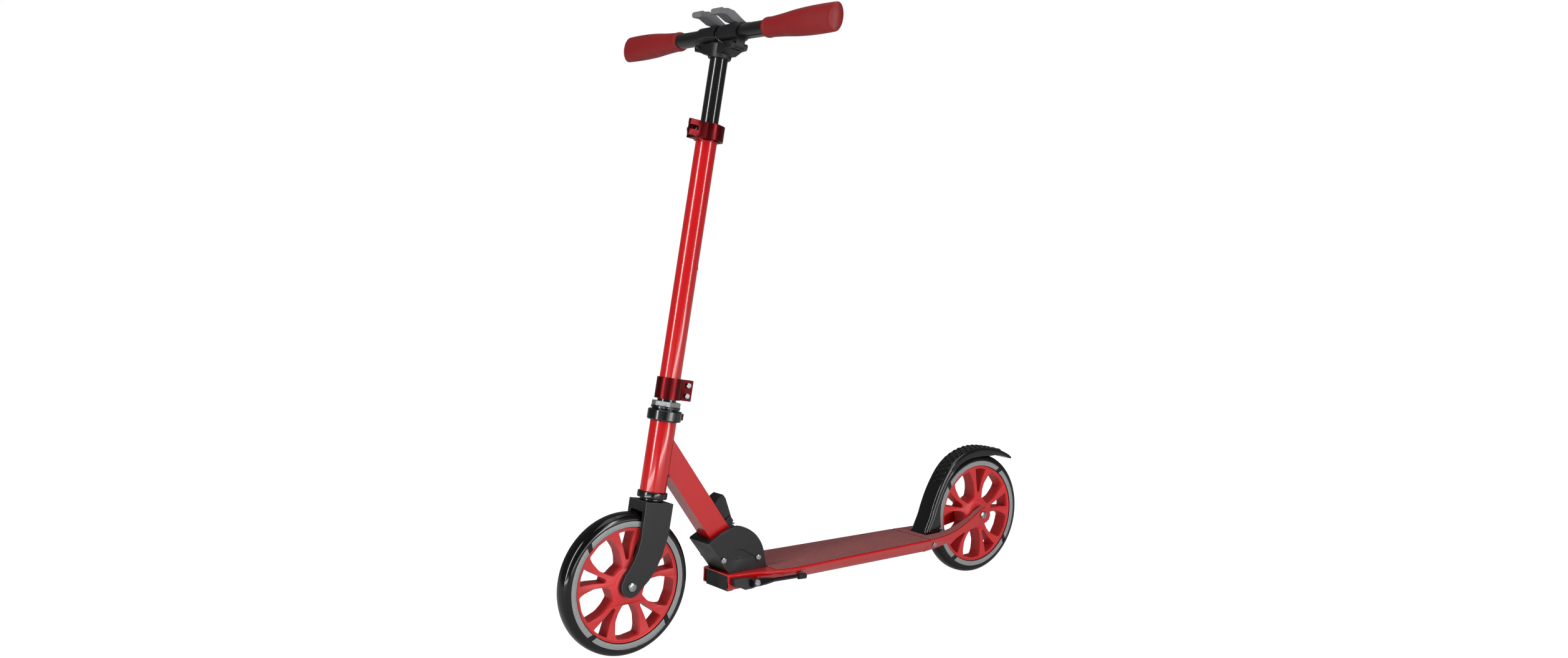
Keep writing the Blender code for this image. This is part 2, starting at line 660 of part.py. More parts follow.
def latch(sign, label):
    """Over-centre plate across the sleeve's top with a rolled thumb edge in front."""
    frame = bar_frame(0.0, -LATCH_BACK, LATCH_UP)
    outline = arc(0.0036, 130.0, 300.0, 6)
    outline += [(0.0040, 0.0010), (0.0120, 0.0020), (0.0260, 0.0024), (0.0400, 0.0075)]
    outline += arc(0.0045, -70.0, 120.0, 8, (0.0480, 0.0105))
    outline += [(0.0390, 0.0165), (0.0280, 0.0160), (0.0120, 0.0085)]
    low, high = sorted((sign * LATCH_FROM, sign * LATCH_TO))
    body = prism("bar_latch_" + label, outline, low, high, "cast_black", side, frame)
    pin = [(0.0016, sign * (SLEEVE_IN + 0.0010)), (0.0016, sign * (SLEEVE_OUT - 0.0010))]
    cut(body, turned("latch_pin_" + label, pin, "steel", frame, steps=12, closed=False,
                     across=True), "UNION")


# ---------------------------------------------------------------- fold joint
def neck():
    """Down tube cut to the head tube, and the head tube itself."""
    turned("head_tube", tube_profile(HEAD_R, HEAD_R - HEAD_WALL, HEAD_LOW, HEAD_HIGH), "gloss_red",
           steering(), steps=36)
    frame = stem()
    lean = frame.inverted() @ steering()
    normal = (lean.to_3x3() @ Vector((1.0, 0.0, 0.0))).normalized()
    origin = lean.translation
    verts = []
    for grow in (0.0, TUBE_WALL):
        for y, z in ((-1, -1), (1, -1), (1, 1), (-1, 1)):
            wide = y * (TUBE_HALF_Y - grow)
            tall = z * (TUBE_HALF_H - grow)
            reach = (normal.dot(origin) - 0.0020 - normal.z * tall) / normal.x
            verts.append((TUBE_START, wide, tall))
            verts.append((reach, wide, tall))
    faces = []
    for i in range(4):
        j = (i + 1) % 4
        a, b, c, d = 2 * i, 2 * j, 8 + 2 * i, 8 + 2 * j
        faces.append((a, b, b + 1, a + 1))
        faces.append((c, c + 1, d + 1, d))
        faces.append((a, c, d, b))
        faces.append((a + 1, b + 1, d + 1, c + 1))
    tube = add("down_tube", verts, faces, "gloss_red", frame)
    tool = turned("down_tube_cope", [(HEAD_R + GAP, HEAD_LOW - 0.02), (HEAD_R + GAP, HEAD_HIGH + 0.05)],
                  "gloss_red", steering(), steps=36, closed=False)
    cut(tube, tool)


def stem_foot():
    """Rounded end on the pivot with a plug inside the down tube."""
    radius = TUBE_HALF_H - 0.0003
    end = TUBE_START - GAP
    outline = arc(radius, 90.0, 270.0, 16) + [(end, -radius), (end, radius)]
    body = prism("stem_foot", outline, -CHEEK_IN + RUN, CHEEK_IN - RUN, "cast_black", side, stem(),
                 holes=[circle(PIN_R + GAP, 18)])
    wide = TUBE_HALF_Y - TUBE_WALL - GAP
    tall = TUBE_HALF_H - TUBE_WALL - GAP
    plug = [(0.0120, -tall), (0.0600, -tall), (0.0600, tall), (0.0120, tall)]
    cut(body, prism("stem_plug", plug, -wide, wide, "cast_black", side, stem()), "UNION")
    pin = [(PIN_R, -CHEEK_HALF), (PIN_R, CHEEK_HALF)]
    turned("fold_pin", pin, "cast_black", at(*PIVOT), steps=18, closed=False, across=True)


def fold_housing():
    """Two rounded cheeks, a sloping front wall and a floor, in one casting."""
    foot_front = (0.1806, deck_top(0.1806 + NOSE) + GAP)
    foot_rear = (0.1130, deck_top(0.1130 + NOSE) + GAP)
    outline = [foot_rear, foot_front, (0.2156, 0.1385), (0.2140, 0.1408), (0.2030, 0.1460),
               (0.1920, 0.1512), (0.1815, 0.1547), (0.1725, 0.1572), (0.1630, 0.1577),
               (0.1560, 0.1561), (0.1490, 0.1530), (0.1420, 0.1488), (0.1360, 0.1443),
               (0.1310, 0.1395), (0.1265, 0.1338), (0.1228, 0.1280), (0.1200, 0.1220),
               (0.1178, 0.1150), (0.1165, 0.1080), (0.1150, 0.0995)]
    holes = [circle(0.0033, 14, point) for point in FOLD_BOLTS]
    holes.append(circle(PIN_R + GAP, 18, (PIVOT.x, PIVOT.z)))
    body = prism("fold_housing", ahead(outline), -CHEEK_HALF, CHEEK_HALF, "cast_black", side,
                 holes=holes, bevel=0.0010)
    inside = [(0.1000, 0.0940), (0.1738, 0.0940), (0.2240, 0.1680), (0.1000, 0.1680)]
    cut(body, prism("housing_inside", ahead(inside), -CHEEK_IN, CHEEK_IN, "cast_black", side))
    for i, (x, z) in enumerate(FOLD_BOLTS):
        bolt = [(0.0030, -CHEEK_HALF - 0.0030), (0.0045, -CHEEK_HALF - 0.0024),
                (0.0045, -CHEEK_HALF - GAP), (0.0030, -CHEEK_HALF - GAP),
                (0.0030, CHEEK_HALF + GAP), (0.0045, CHEEK_HALF + GAP),
                (0.0045, CHEEK_HALF + 0.0022), (0.0030, CHEEK_HALF + 0.0030)]
        turned("housing_bolt_%d" % (i + 1), bolt, "steel", at(x, 0.0, z), steps=16, closed=False,
               across=True)


def release_lever():
    """Foot lever behind the down tube, its U bracket and its pin."""
    back = TUBE_HALF_H + GAP
    along, up = LEVER_AT
    bracket = [(-0.0145, back), (0.0145, back), (0.0145, up + 0.0045), (0.0124, up + 0.0045),
               (0.0124, back + 0.0010), (-0.0124, back + 0.0010), (-0.0124, up + 0.0045),
               (-0.0145, up + 0.0045)]
    body = prism("lever_bracket", bracket, along - 0.0050, along + 0.0050, "cast_black", front,
                 stem())
    cut(body, turned("bracket_hole", [(0.0021, -0.02), (0.0021, 0.02)], "steel", stem(along, up),
                     steps=14, closed=False, across=True))
    shape = [(0.0360, 0.0300), (0.0375, 0.0262), (0.0450, 0.0200), (0.0600, 0.0190),
             (0.0845, 0.0190), (0.0862, 0.0300), (0.0855, 0.0374), (0.0780, 0.0378),
             (0.0640, 0.0338), (0.0400, 0.0272)]
    shape = [(u - along, v - up) for u, v in shape]
    lever = prism("release_lever", shape, -0.0118, 0.0118, "matte_black", side, stem(along, up),
                  bevel=0.0012)
    pin = turned("lever_pin", [(0.0018, -0.0152), (0.0018, 0.0152)], "steel", stem(along, up),
                 steps=14, closed=False, across=True)
    cut(lever, pin, "UNION")


# --------------------------------------------------------------------- deck
def section(x, shrink):
    """Deck section at x, anticlockwise seen from the front, drawn in y and z."""
    top = deck_top(x) - shrink
    half = deck_half(x) - shrink
    base = deck_base(x) - shrink
    low = deck_top(x) - DECK_DEEP + shrink
    edge = 0.0016
    right = [(half - edge, top), (half, top - edge), (half - 0.0006, top - 2.6 * edge),
             (base + 0.0012, low + 0.0012), (base - 0.0006, low)]
    return right + [(-y, z) for y, z in reversed(right)]


def deck():
    """Hollow extrusion, narrowed to a nose, closed in front by the cap."""
    rows = [x for x, half in DECK_STATIONS]
    verts = []
    faces = []
    count = len(section(0.0, 0.0))
    for x in rows:
        for shrink in (0.0, DECK_WALL):
            verts += [(x, y, z) for y, z in section(x, shrink)]
    step = 2 * count
    for row in range(len(rows) - 1):
        for part in (0, count):
            for i in range(count):
                j = (i + 1) % count
                a = row * step + part + i
                b = row * step + part + j
                faces.append((a, b, b + step, a + step))
    for row in (0, len(rows) - 1):
        for i in range(count):
            j = (i + 1) % count
            a = row * step + i
            b = row * step + j
            faces.append((a, b, b + count, a + count))
    body = add("deck_extrusion", verts, faces, "gloss_red")
    low = deck_top(DECK_FRONT) - DECK_DEEP - 0.0075
    mouth = [(0.1745, low), (0.1950, low), (0.1950, 0.0715), (0.1745, 0.0715)]
    cut(body, prism("deck_mouth", ahead(mouth), -0.0270, 0.0270, "gloss_red", side))
    return body


def nose_cap():
    x0 = DECK_FRONT - 0.0116
    x1 = DECK_FRONT - 0.0010
    top0 = deck_top(x0) - DECK_WALL - GAP
    top1 = deck_top(x1) - DECK_WALL - GAP
    deep = DECK_DEEP + 0.0003
    outline = [(x0, top0 - deep), (x1, top1 - deep), (x1, top1), (x0, top0)]
    prism("nose_cap", outline, -0.0266, 0.0266, "matte_black", side, bevel=0.0006)


def deck_sheet():
    """Grip sheet on the extrusion, from the housing to the seam."""
    margin = 0.0026
    start = DECK_FRONT - 0.0759
    stations = [x for x, half in DECK_STATIONS if DECK_REAR < x < start]
    rows = [start] + stations + [DECK_REAR + 0.0010]
    verts = []
    faces = []
    for x in rows:
        half = deck_half(x) - margin
        z = deck_top(x) + GAP
        verts += [(x, half, z), (x, half, z + SHEET), (x, -half, z + SHEET), (x, -half, z)]
    for row in range(len(rows) - 1):
        for i in range(4):
            j = (i + 1) % 4
            a = 4 * row + i
            b = 4 * row + j
            faces.append((a, b, b + 4, a + 4))
    last = 4 * (len(rows) - 1)
    faces.append((3, 2, 1, 0))
    faces.append((last, last + 1, last + 2, last + 3))
    add("deck_sheet", verts, faces, "grip_sheet")


ARM_TOP = ((-0.2025, 0.0827), (-0.2250, 0.0822), (-0.2450, 0.0824), (-0.2600, 0.0838),
           (-0.2750, 0.0864), (-0.2900, 0.0903), (-0.3077, 0.0962), (-0.3265, 0.1034),
           (-0.3430, 0.1103), (-0.3500, 0.1127))
ARM_LOW = ((-0.3430, 0.0843), (-0.3132, 0.0812), (-0.2876, 0.0778), (-0.2677, 0.0728),
           (-0.2430, 0.0668), (-0.2250, 0.0627), (-0.2025, 0.0602))
ARM_OUTER = ((-0.2025, 0.0468), (-0.2220, 0.0450), (-0.2500, 0.0405), (-0.2800, 0.0362),
             (-0.3100, 0.0318), (-0.3300, 0.0288), (-0.3400, ARM_FACE), (-0.3620, ARM_FACE))
ARM_INNER = ((-0.3620, FORK_INNER), (-0.3280, FORK_INNER), (-0.3200, SLOT_HALF),
             (-0.2190, SLOT_HALF))


def arm_plan(inset_out, inset_in, front_x, slot_x):
    """Plan of the casting: two arms joined ahead of the wheel slot."""
    left = [(x, y - inset_out) for x, y in ARM_OUTER]
    left[0] = (front_x, left[0][1])
    inner = [(x, y + inset_in) for x, y in ARM_INNER[:-1]]
    inner.append((slot_x, SLOT_HALF + inset_in))
    half = left + inner
    return half + [(x, -y) for x, y in reversed(half)]


def arm_side(lift, drop):
    """Side outline of the casting; lift raises its top line."""
    top = [(x, z + lift) for x, z in ARM_TOP]
    if drop is not None:
        low = [(x, z + drop) for x, z in reversed(ARM_TOP)]
        return top + low
    tail = [(-0.3560, 0.1095), (-0.3600, 0.1035), (-0.3608, 0.0960), (-0.3580, 0.0900),
            (-0.3520, 0.0860)]
    return top + tail + list(ARM_LOW)


def rear_fork():
    """Casting that carries the rear axle and hides the fender's hinge."""
    tail = at(-NOSE, 0.0, 0.0)
    body = prism("rear_fork", arm_side(0.0, None), -0.0600, 0.0600, "gloss_red", side, tail)
    cut(body, prism("rear_fork_plan", arm_plan(0.0, 0.0, -0.2025, -0.2190), 0.0, 0.2000,
                    "gloss_red", plan, tail), "INTERSECT")
    slope = [(-0.0600, 0.0810), (-0.0470, 0.0800), (-0.0300, 0.0590), (0.0300, 0.0590),
             (0.0470, 0.0800), (0.0600, 0.0810), (0.0600, 0.2000), (-0.0600, 0.2000)]
    cut(body, prism("rear_fork_section", slope, -0.4000, -0.1000, "gloss_red", front, tail),
        "INTERSECT")
    pocket = [(-0.2500, 0.0500), (-0.2060, 0.0500), (-0.2060, 0.0786), (-0.2500, 0.0786)]
    cut(body, prism("rear_fork_pocket", pocket, -SLOT_HALF, SLOT_HALF, "gloss_red", side, tail))
    cut(body, turned("rod_hole", [(ROD_R + GAP, -0.08), (ROD_R + GAP, 0.08)], "steel",
                     at(ROD_AT[0], 0.0, ROD_AT[1]), steps=16, closed=False, across=True))
    cut(body, turned("axle_hole", [(AXLE_R + GAP, -0.08), (AXLE_R + GAP, 0.08)], "steel",
                     at(REAR_X, 0.0, WHEEL_R), steps=16, closed=False, across=True))
    sheet = prism("rear_sheet", arm_side(SHEET + GAP, GAP), -0.0600, 0.0600, "grip_sheet", side,
                  tail)
    cut(sheet, prism("rear_sheet_plan", arm_plan(0.0022, 0.0016, -0.2040, -0.2175), 0.0, 0.2000,
                     "grip_sheet", plan, tail), "INTERSECT")


def fender():
    """Brake fender over the tyre, hinged on the rod under the deck."""
    px, pz = ROD_AT
    outer = [(-0.2192, 0.0832), (-0.2228, 0.0905), (-0.2300, 0.1080), (-0.2370, 0.1245),
             (-0.2432, 0.1390), (-0.2565, 0.1620), (-0.2735, 0.1838), (-0.2865, 0.1948),
             (-0.3010, 0.2028), (-0.3200, 0.2090), (-0.3390, 0.2118), (-0.3550, 0.2115),
             (-0.3700, 0.2094), (-0.3990, 0.2020), (-0.4235, 0.1895), (-0.4250, 0.1860),
             (-0.4215, 0.1838), (-0.4060, 0.1900), (-0.3862, 0.1950), (-0.3700, 0.1945),
             (-0.3435, 0.1970), (-0.3250, 0.1966), (-0.3070, 0.1922), (-0.2889, 0.1830),
             (-0.2703, 0.1649), (-0.2600, 0.1440), (-0.2564, 0.1320), (-0.2570, 0.0845)]
    root = [(-0.2400, 0.0835), (-0.2400, 0.0725), (-0.2300, 0.0692)]
    root += arc(0.0044, 250.0, 450.0, 8, (px + NOSE, pz))
    root += [(-0.2192, 0.0779)]
    outline = [(x - NOSE - px, z - pz) for x, z in outer + root]
    body = prism("brake_fender", outline, -0.0170, 0.0170, "gloss_black", side,
                 at(px, 0.0, pz), holes=[circle(ROD_R + GAP, 16)])
    clear = turned("fender_clearance", [(WHEEL_R + 0.0038, -0.0148), (WHEEL_R + 0.0038, 0.0148)],
                   "gloss_black", at(REAR_X, 0.0, WHEEL_R), steps=64, closed=False, across=True)
    cut(body, clear)
    reach = 0.0452
    rod = [(0.0034, -reach - 0.0012), (0.0040, -reach - GAP), (ROD_R, -reach - GAP),
           (ROD_R, reach + GAP), (0.0040, reach + GAP), (0.0034, reach + 0.0012)]
    turned("fender_rod", rod, "steel", at(px, 0.0, pz), steps=16, closed=False, across=True)


# ---------------------------------------------------------------- kickstand
def side_y(x, z):
    """The deck's flank at a point, as a half width."""
    down = (deck_top(x) - z) / DECK_DEEP
    return deck_half(x) + (deck_base(x) - deck_half(x)) * down


def kickstand():
    """Bracket under the deck's flank, its pivot bolt, and the sprung leg with a rubber shoe."""
    px, pz = KICK_PIVOT
    py = side_y(px - KICK_REACH, pz) + KICK_OUT
    outline = ahead([(0.1830, 0.0860), (0.1640, 0.0855), (0.1460, 0.0825), (0.1400, 0.0795),
                     (0.1410, 0.0710), (0.1520, 0.0684), (0.1665, 0.0684), (0.1720, 0.0731),
                     (0.1830, 0.0751)])
    face = KICK_THICK + GAP
    verts, faces = plate_mesh(outline, [], 0.0, 1.0, side)
    half = len(verts) // 2
    shaped = []
    for i, (x, y, z) in enumerate(verts):
        lean = (face + (z - pz) * math.sin(KICK_SPLAY)) / math.cos(KICK_SPLAY)
        shaped.append((x, py - lean if i >= half else side_y(x, z) + 0.0014, z))
    bracket = add("kick_bracket", shaped, faces, "cast_black")
    upright = at(px, py, pz) @ Matrix.Rotation(KICK_SPLAY, 4, "X")
    frame = upright @ Matrix.Rotation(-KICK_DROOP, 4, "Y")
    cut(bracket, turned("kick_hole", [(0.0028, -0.0070), (0.0028, 0.0120)], "steel", frame, steps=16,
                        closed=False, across=True))
    bolt = [(0.0025, -0.0062), (0.0025, 0.0044), (0.0050, 0.0044), (0.0050, 0.0066),
            (0.0036, 0.0074)]
    turned("kick_bolt", bolt, "steel", frame, steps=18, closed=False, across=True)
    leg = [(0.0056, -0.0060), (0.0062, -0.0020), (0.0060, 0.0080), (0.0050, 0.0200),
           (0.0036, 0.0300), (0.0034, 0.0320), (0.0030, 0.0325), (0.0029, 0.0780)]
    verts, faces = turned_mesh(leg, 18, False)
    squash = [(-z, min(max(x, -KICK_THICK), KICK_THICK), y) for x, y, z in verts]
    body = add("kick_leg", squash, faces, "cast_black", frame)
    cut(body, turned("leg_hole", [(0.0028, -0.02), (0.0028, 0.02)], "steel", frame, steps=16,
                     closed=False, across=True))
    shoe = [(-0.0784, -0.0050), (-0.0784, 0.0036), (-0.0850, 0.0042), (-0.0905, 0.0030),
            (-0.0925, -0.0010), (-0.0905, -0.0052)]
    prism("kick_foot", shoe, -0.0035, 0.0050, "rubber_black", side, frame, bevel=0.0008)


KINDS = {
    "gloss_red": ((0.62, 0.012, 0.012), 0.25, 0.0),
    "deep_red": ((0.20, 0.008, 0.010), 0.25, 0.6),
    "core_red": ((0.72, 0.055, 0.050), 0.40, 0.0),
    "grip_red": ((0.27, 0.010, 0.010), 0.60, 0.0),
    "grip_sheet": ((0.27, 0.095, 0.090), 0.90, 0.0),
    "gloss_black": ((0.012, 0.012, 0.013), 0.15, 0.0),
    "satin_black": ((0.015, 0.015, 0.016), 0.25, 0.3),
    "matte_black": ((0.020, 0.020, 0.020), 0.65, 0.0),
    "cast_black": ((0.018, 0.018, 0.019), 0.50, 0.2),
    "rubber_black": ((0.015, 0.015, 0.015), 0.80, 0.0),
    "tyre_black": ((0.010, 0.010, 0.011), 0.30, 0.0),
    "ring_grey": ((0.30, 0.31, 0.31), 0.45, 0.0),
    "steel": ((0.55, 0.55, 0.55), 0.30, 1.0),
}


def build():
    clear_scene()
    deck()
    nose_cap()
    deck_sheet()
    rear_fork()
    fender()
    kickstand()
    fold_housing()
    stem_foot()
    release_lever()
    neck()
    fork()
    headset()
    column()
    quick_clamp()
    telescope()
    t_head()
    half_bar(1, "left")
    half_bar(-1, "right")
    wheel("rear_wheel", at(REAR_X, 0.0, WHEEL_R), 0.0, 0.0)
    axle("rear_axle", at(REAR_X, 0.0, WHEEL_R), ARM_FACE, 0.0028)
    wheel("front_wheel", steering(0.0252, 0.0, -0.0049) @ Matrix.Rotation(RAKE, 4, "Y"), 0.0, 0.0)
    axle("front_axle", steering(0.0252, 0.0, -0.0049) @ Matrix.Rotation(RAKE, 4, "Y"), FORK_HALF,
         0.0028)


build()
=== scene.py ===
# %% [markdown]
# # A folding kick scooter, dressed for its portrait
#
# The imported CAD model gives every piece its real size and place, and the bodies that move.
# This notebook builds the surfaces and finishes that the eye sees on top of it. Each step
# says what the piece is on the real scooter, how it could be made, and why it is made this way.

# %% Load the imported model
import bpy
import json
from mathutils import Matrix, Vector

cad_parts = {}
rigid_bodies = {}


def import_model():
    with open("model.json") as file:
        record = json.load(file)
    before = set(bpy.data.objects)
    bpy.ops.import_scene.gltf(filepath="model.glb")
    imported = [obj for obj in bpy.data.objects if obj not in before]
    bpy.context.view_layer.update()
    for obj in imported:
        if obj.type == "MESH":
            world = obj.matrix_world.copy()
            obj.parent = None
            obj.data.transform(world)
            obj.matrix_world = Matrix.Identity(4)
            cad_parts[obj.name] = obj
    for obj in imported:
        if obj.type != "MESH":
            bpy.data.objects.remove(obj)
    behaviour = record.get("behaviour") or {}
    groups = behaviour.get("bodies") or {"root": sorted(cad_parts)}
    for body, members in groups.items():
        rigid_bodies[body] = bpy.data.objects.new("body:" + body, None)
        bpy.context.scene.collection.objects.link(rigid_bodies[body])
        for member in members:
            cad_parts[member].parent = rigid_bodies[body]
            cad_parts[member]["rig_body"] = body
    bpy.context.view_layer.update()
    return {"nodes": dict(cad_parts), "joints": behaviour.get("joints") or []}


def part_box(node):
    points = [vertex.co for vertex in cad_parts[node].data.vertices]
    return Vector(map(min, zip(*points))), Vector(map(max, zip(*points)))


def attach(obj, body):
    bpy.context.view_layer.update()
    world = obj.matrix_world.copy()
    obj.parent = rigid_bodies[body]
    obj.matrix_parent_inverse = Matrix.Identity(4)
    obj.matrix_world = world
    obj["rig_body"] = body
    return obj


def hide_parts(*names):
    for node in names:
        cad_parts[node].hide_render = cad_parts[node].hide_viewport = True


for start_object in list(bpy.data.objects):
    bpy.data.objects.remove(start_object, do_unlink=True)
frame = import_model()

# %% [markdown]
# ## Where things are
#
# Every place comes from the model: joints give the axes that pieces turn about, and a node's
# own vertices give its radii and ends. `place` makes a frame from a point and two directions,
# and `reach` measures a node in such a frame.

# %% Frames and measures
import json
import math
import bmesh
import numpy as np
from mathutils import Matrix, Vector
from mathutils.geometry import tessellate_polygon

NODES = frame["nodes"]
JOINTS = {joint["name"]: joint for joint in frame["joints"]}
GAP = 0.0003
LEFT = Vector((0.0, 1.0, 0.0))


def place(point, up, side=LEFT):
    """Frame with z along up, y along side and x completing it, at a point."""
    up = Vector(up).normalized()
    ahead = Vector(side).cross(up).normalized()
    turn = Matrix((ahead, up.cross(ahead), up)).transposed().to_4x4()
    return Matrix.Translation(Vector(point)) @ turn


def seen_from(node, base):
    """All vertices of a node, in a frame's own coordinates, as an array."""
    points = np.array([v.co for v in NODES[node].data.vertices])
    inverse = np.array(base.inverted())
    return points @ inverse[:3, :3].T + inverse[:3, 3]


def reach(node, base):
    """Outer radius, inner radius, lowest and highest height of a turned node about z."""
    points = seen_from(node, base)
    radius = np.hypot(points[:, 0], points[:, 1])
    return radius.max(), radius.min(), points[:, 2].min(), points[:, 2].max()


STEER = place(JOINTS["steer"]["pos_m"], JOINTS["steer"]["axis"])
REAR_HUB = Vector(JOINTS["rear_wheel_spin"]["pos_m"])
FRONT_HUB = Vector(JOINTS["front_wheel_spin"]["pos_m"])
PIVOT = Vector(JOINTS["stem_fold"]["pos_m"])
print("outer tube radius and ends:", [round(float(v), 4) for v in reach("outer_tube", STEER)])

# %% [markdown]
# ## The camera and the light
#
# The camera stands low at the rider's left, ahead of the front wheel, with a moderate wide
# lens. A plain pale floor runs out of sight, and two tall soft boxes draw the long highlights
# that show a tube as round. A third one overhead lights the deck, and two long low ones draw the
# line under the handlebar and light the flank that slopes away under the deck.

# %% Camera, floor and soft boxes
CAMERA_AT = Vector((1.2896, 1.5582, 0.6288))
CAMERA_TURN = (math.radians(90.0 - 5.56), 0.0, math.radians(141.73))
LENS = 30.82

camera = bpy.data.objects.new("camera", bpy.data.cameras.new("camera"))
camera.data.lens = LENS
camera.data.sensor_width = 36.0
camera.data.clip_start = 0.05
camera.location = CAMERA_AT
camera.rotation_euler = CAMERA_TURN
bpy.context.scene.collection.objects.link(camera)
bpy.context.scene.camera = camera
bpy.context.scene.view_settings.view_transform = "Standard"


def soft_box(name, at, toward, width, height, power):
    """Rectangular area light at a point, facing another."""
    light = bpy.data.lights.new(name, "AREA")
    light.shape = "RECTANGLE"
    light.size = width
    light.size_y = height
    light.energy = power
    lamp = bpy.data.objects.new(name, light)
    lamp.location = at
    lamp.rotation_euler = (Vector(toward) - Vector(at)).to_track_quat("-Z", "Y").to_euler()
    bpy.context.scene.collection.objects.link(lamp)
    return lamp


soft_box("key_box", (2.4, 0.3, 1.4), (0.1, 0.0, 0.45), 0.34, 2.2, 40.0)
soft_box("fill_box", (-0.6, 2.6, 1.2), (0.0, 0.0, 0.45), 0.26, 2.2, 32.0)
soft_box("top_box", (-0.2, 0.1, 2.8), (0.0, 0.0, 0.0), 2.6, 1.6, 20.0)
soft_box("low_side_box", (-0.1, 2.2, 0.12), (-0.1, 0.0, 0.07), 2.0, 0.16, 9.0)
soft_box("low_front_box", (2.3, 0.9, 0.18), (0.1, 0.0, 0.86), 2.0, 0.16, 10.0)

# the eye sees a white studio, while the scooter itself gets only a little light from all round
SEEN_WHITE, LIT_GREY = 0.88, 0.12
FLOOR_HALF = 40
world = bpy.data.worlds.new("studio")
world.use_nodes = True
backdrop = world.node_tree.nodes["Background"]
backdrop.inputs["Color"].default_value = (1.0, 1.0, 1.0, 1.0)
seen = world.node_tree.nodes.new("ShaderNodeLightPath")
brightness = world.node_tree.nodes.new("ShaderNodeMath")
brightness.operation = "MULTIPLY_ADD"
brightness.inputs[1].default_value = SEEN_WHITE
brightness.inputs[2].default_value = LIT_GREY
world.node_tree.links.new(seen.outputs["Is Camera Ray"], brightness.inputs[0])
world.node_tree.links.new(brightness.outputs["Value"], backdrop.inputs["Strength"])
bpy.context.scene.world = world

floor_mesh = bpy.data.meshes.new("floor")
corners = [(x * FLOOR_HALF, y * FLOOR_HALF, 0) for x, y in ((-1, -1), (1, -1), (1, 1), (-1, 1))]
floor_mesh.from_pydata(corners, [], [(0, 1, 2, 3)])
floor = bpy.data.objects.new("floor", floor_mesh)
bpy.context.scene.collection.objects.link(floor)

# %% [markdown]
# ## Finishes
#
# A finish is more than a colour. Two close tones drift over the surface in patches, the
# roughness drifts with them, and a fine grain lifts and sinks it. `finish` builds that once,
# and each material below gives it the tones and sizes of a real surface. Sizes are in
# millimetres, because Object coordinates are in metres: a grain of 2 mm is a scale of 500.

# %% One function that adds a node, and one that builds a finish
def tone(code):
    """sRGB hex to the linear colour a shader wants."""
    values = [int(code[i:i + 2], 16) / 255.0 for i in (1, 3, 5)]
    return (*[v / 12.92 if v <= 0.04045 else ((v + 0.055) / 1.055) ** 2.4 for v in values], 1.0)


def add_node(tree, kind, inputs=None, **settings):
    """Add a node, set its fields, and set or link each named input."""
    made = tree.nodes.new(kind)
    for key, value in settings.items():
        setattr(made, key, value)
    for key, value in (inputs or {}).items():
        if isinstance(value, bpy.types.NodeSocket):
            tree.links.new(value, made.inputs[key])
        else:
            made.inputs[key].default_value = value
    return made


def finish(name, tones, rough, patch_mm, grain_mm, depth_mm, metal=0.0, coat=0.0, speck=None):
    """Principled surface: two tones and two roughnesses mixed by slow noise, fine bump over it."""
    made = bpy.data.materials.new(name)
    made.use_nodes = True
    tree = made.node_tree
    shader = tree.nodes["Principled BSDF"]
    shader.inputs["Metallic"].default_value = metal
    shader.inputs["Coat Weight"].default_value = coat
    shader.inputs["Coat Roughness"].default_value = 0.04
    spot = add_node(tree, "ShaderNodeTexCoord").outputs["Object"]
    drift = add_node(tree, "ShaderNodeTexNoise",
                     {"Vector": spot, "Scale": 1000.0 / patch_mm, "Detail": 3.0}).outputs["Fac"]
    result = add_node(tree, "ShaderNodeMix", {0: drift, 6: tone(tones[0]), 7: tone(tones[1])},
                      data_type="RGBA").outputs[2]
    grain = add_node(tree, "ShaderNodeTexNoise",
                     {"Vector": spot, "Scale": 1000.0 / grain_mm, "Detail": 2.0}).outputs["Fac"]
    if speck:
        flecks = add_node(tree, "ShaderNodeMapRange",
                          {"Value": grain, "From Min": 0.56, "From Max": 0.64})
        result = add_node(tree, "ShaderNodeMix",
                          {0: flecks.outputs["Result"], 6: result, 7: tone(speck)},
                          data_type="RGBA").outputs[2]
    tree.links.new(result, shader.inputs["Base Color"])
    gloss = add_node(tree, "ShaderNodeMapRange",
                     {"Value": drift, "From Min": 0.3, "From Max": 0.7,
                      "To Min": rough[0], "To Max": rough[1]})
    tree.links.new(gloss.outputs["Result"], shader.inputs["Roughness"])
    bump = add_node(tree, "ShaderNodeBump",
                    {"Height": grain, "Distance": depth_mm / 1000.0, "Strength": 1.0})
    tree.links.new(bump.outputs["Normal"], shader.inputs["Normal"])
    return made

# %% [markdown]
# ## One finish for each real surface
#
# Every surface on the scooter is made its own way, and the way it is made sets its gloss and grain:
# powder melted on, dye under a clear oxide, grit under a binder, rubber from an eroded mould. So
# each gets its own tones, roughness, patch, grain and depth in millimetres.

# %% The scooter's own finishes
# powder coat: sprayed powder melted into a thick gloss film, with a faint orange-peel swell
RED_COAT = finish("gloss_red_powder_coat", ("#C60D13", "#BC0A10"), (0.18, 0.26), 60, 3.0, 0.006, coat=0.6)
# anodised aluminium, dyed: metal seen through a clear red layer, nearly black in shade
RED_ANODISED = finish("dark_red_anodised_aluminium", ("#6E0C12", "#55090E"), (0.24, 0.34), 20, 0.6, 0.004,
                      metal=0.85)
# glass-filled nylon, moulded: even, waxy sheen, slightly chalky
RED_NYLON = finish("coral_red_moulded_nylon", ("#D42F32", "#C6272A"), (0.36, 0.48), 25, 1.2, 0.010)
# thermoplastic rubber, moulded against a spark-eroded tool: soft matt grain
RED_RUBBER = finish("dark_red_grip_rubber", ("#8C0D12", "#7A0A0E"), (0.46, 0.58), 18, 0.9, 0.030)
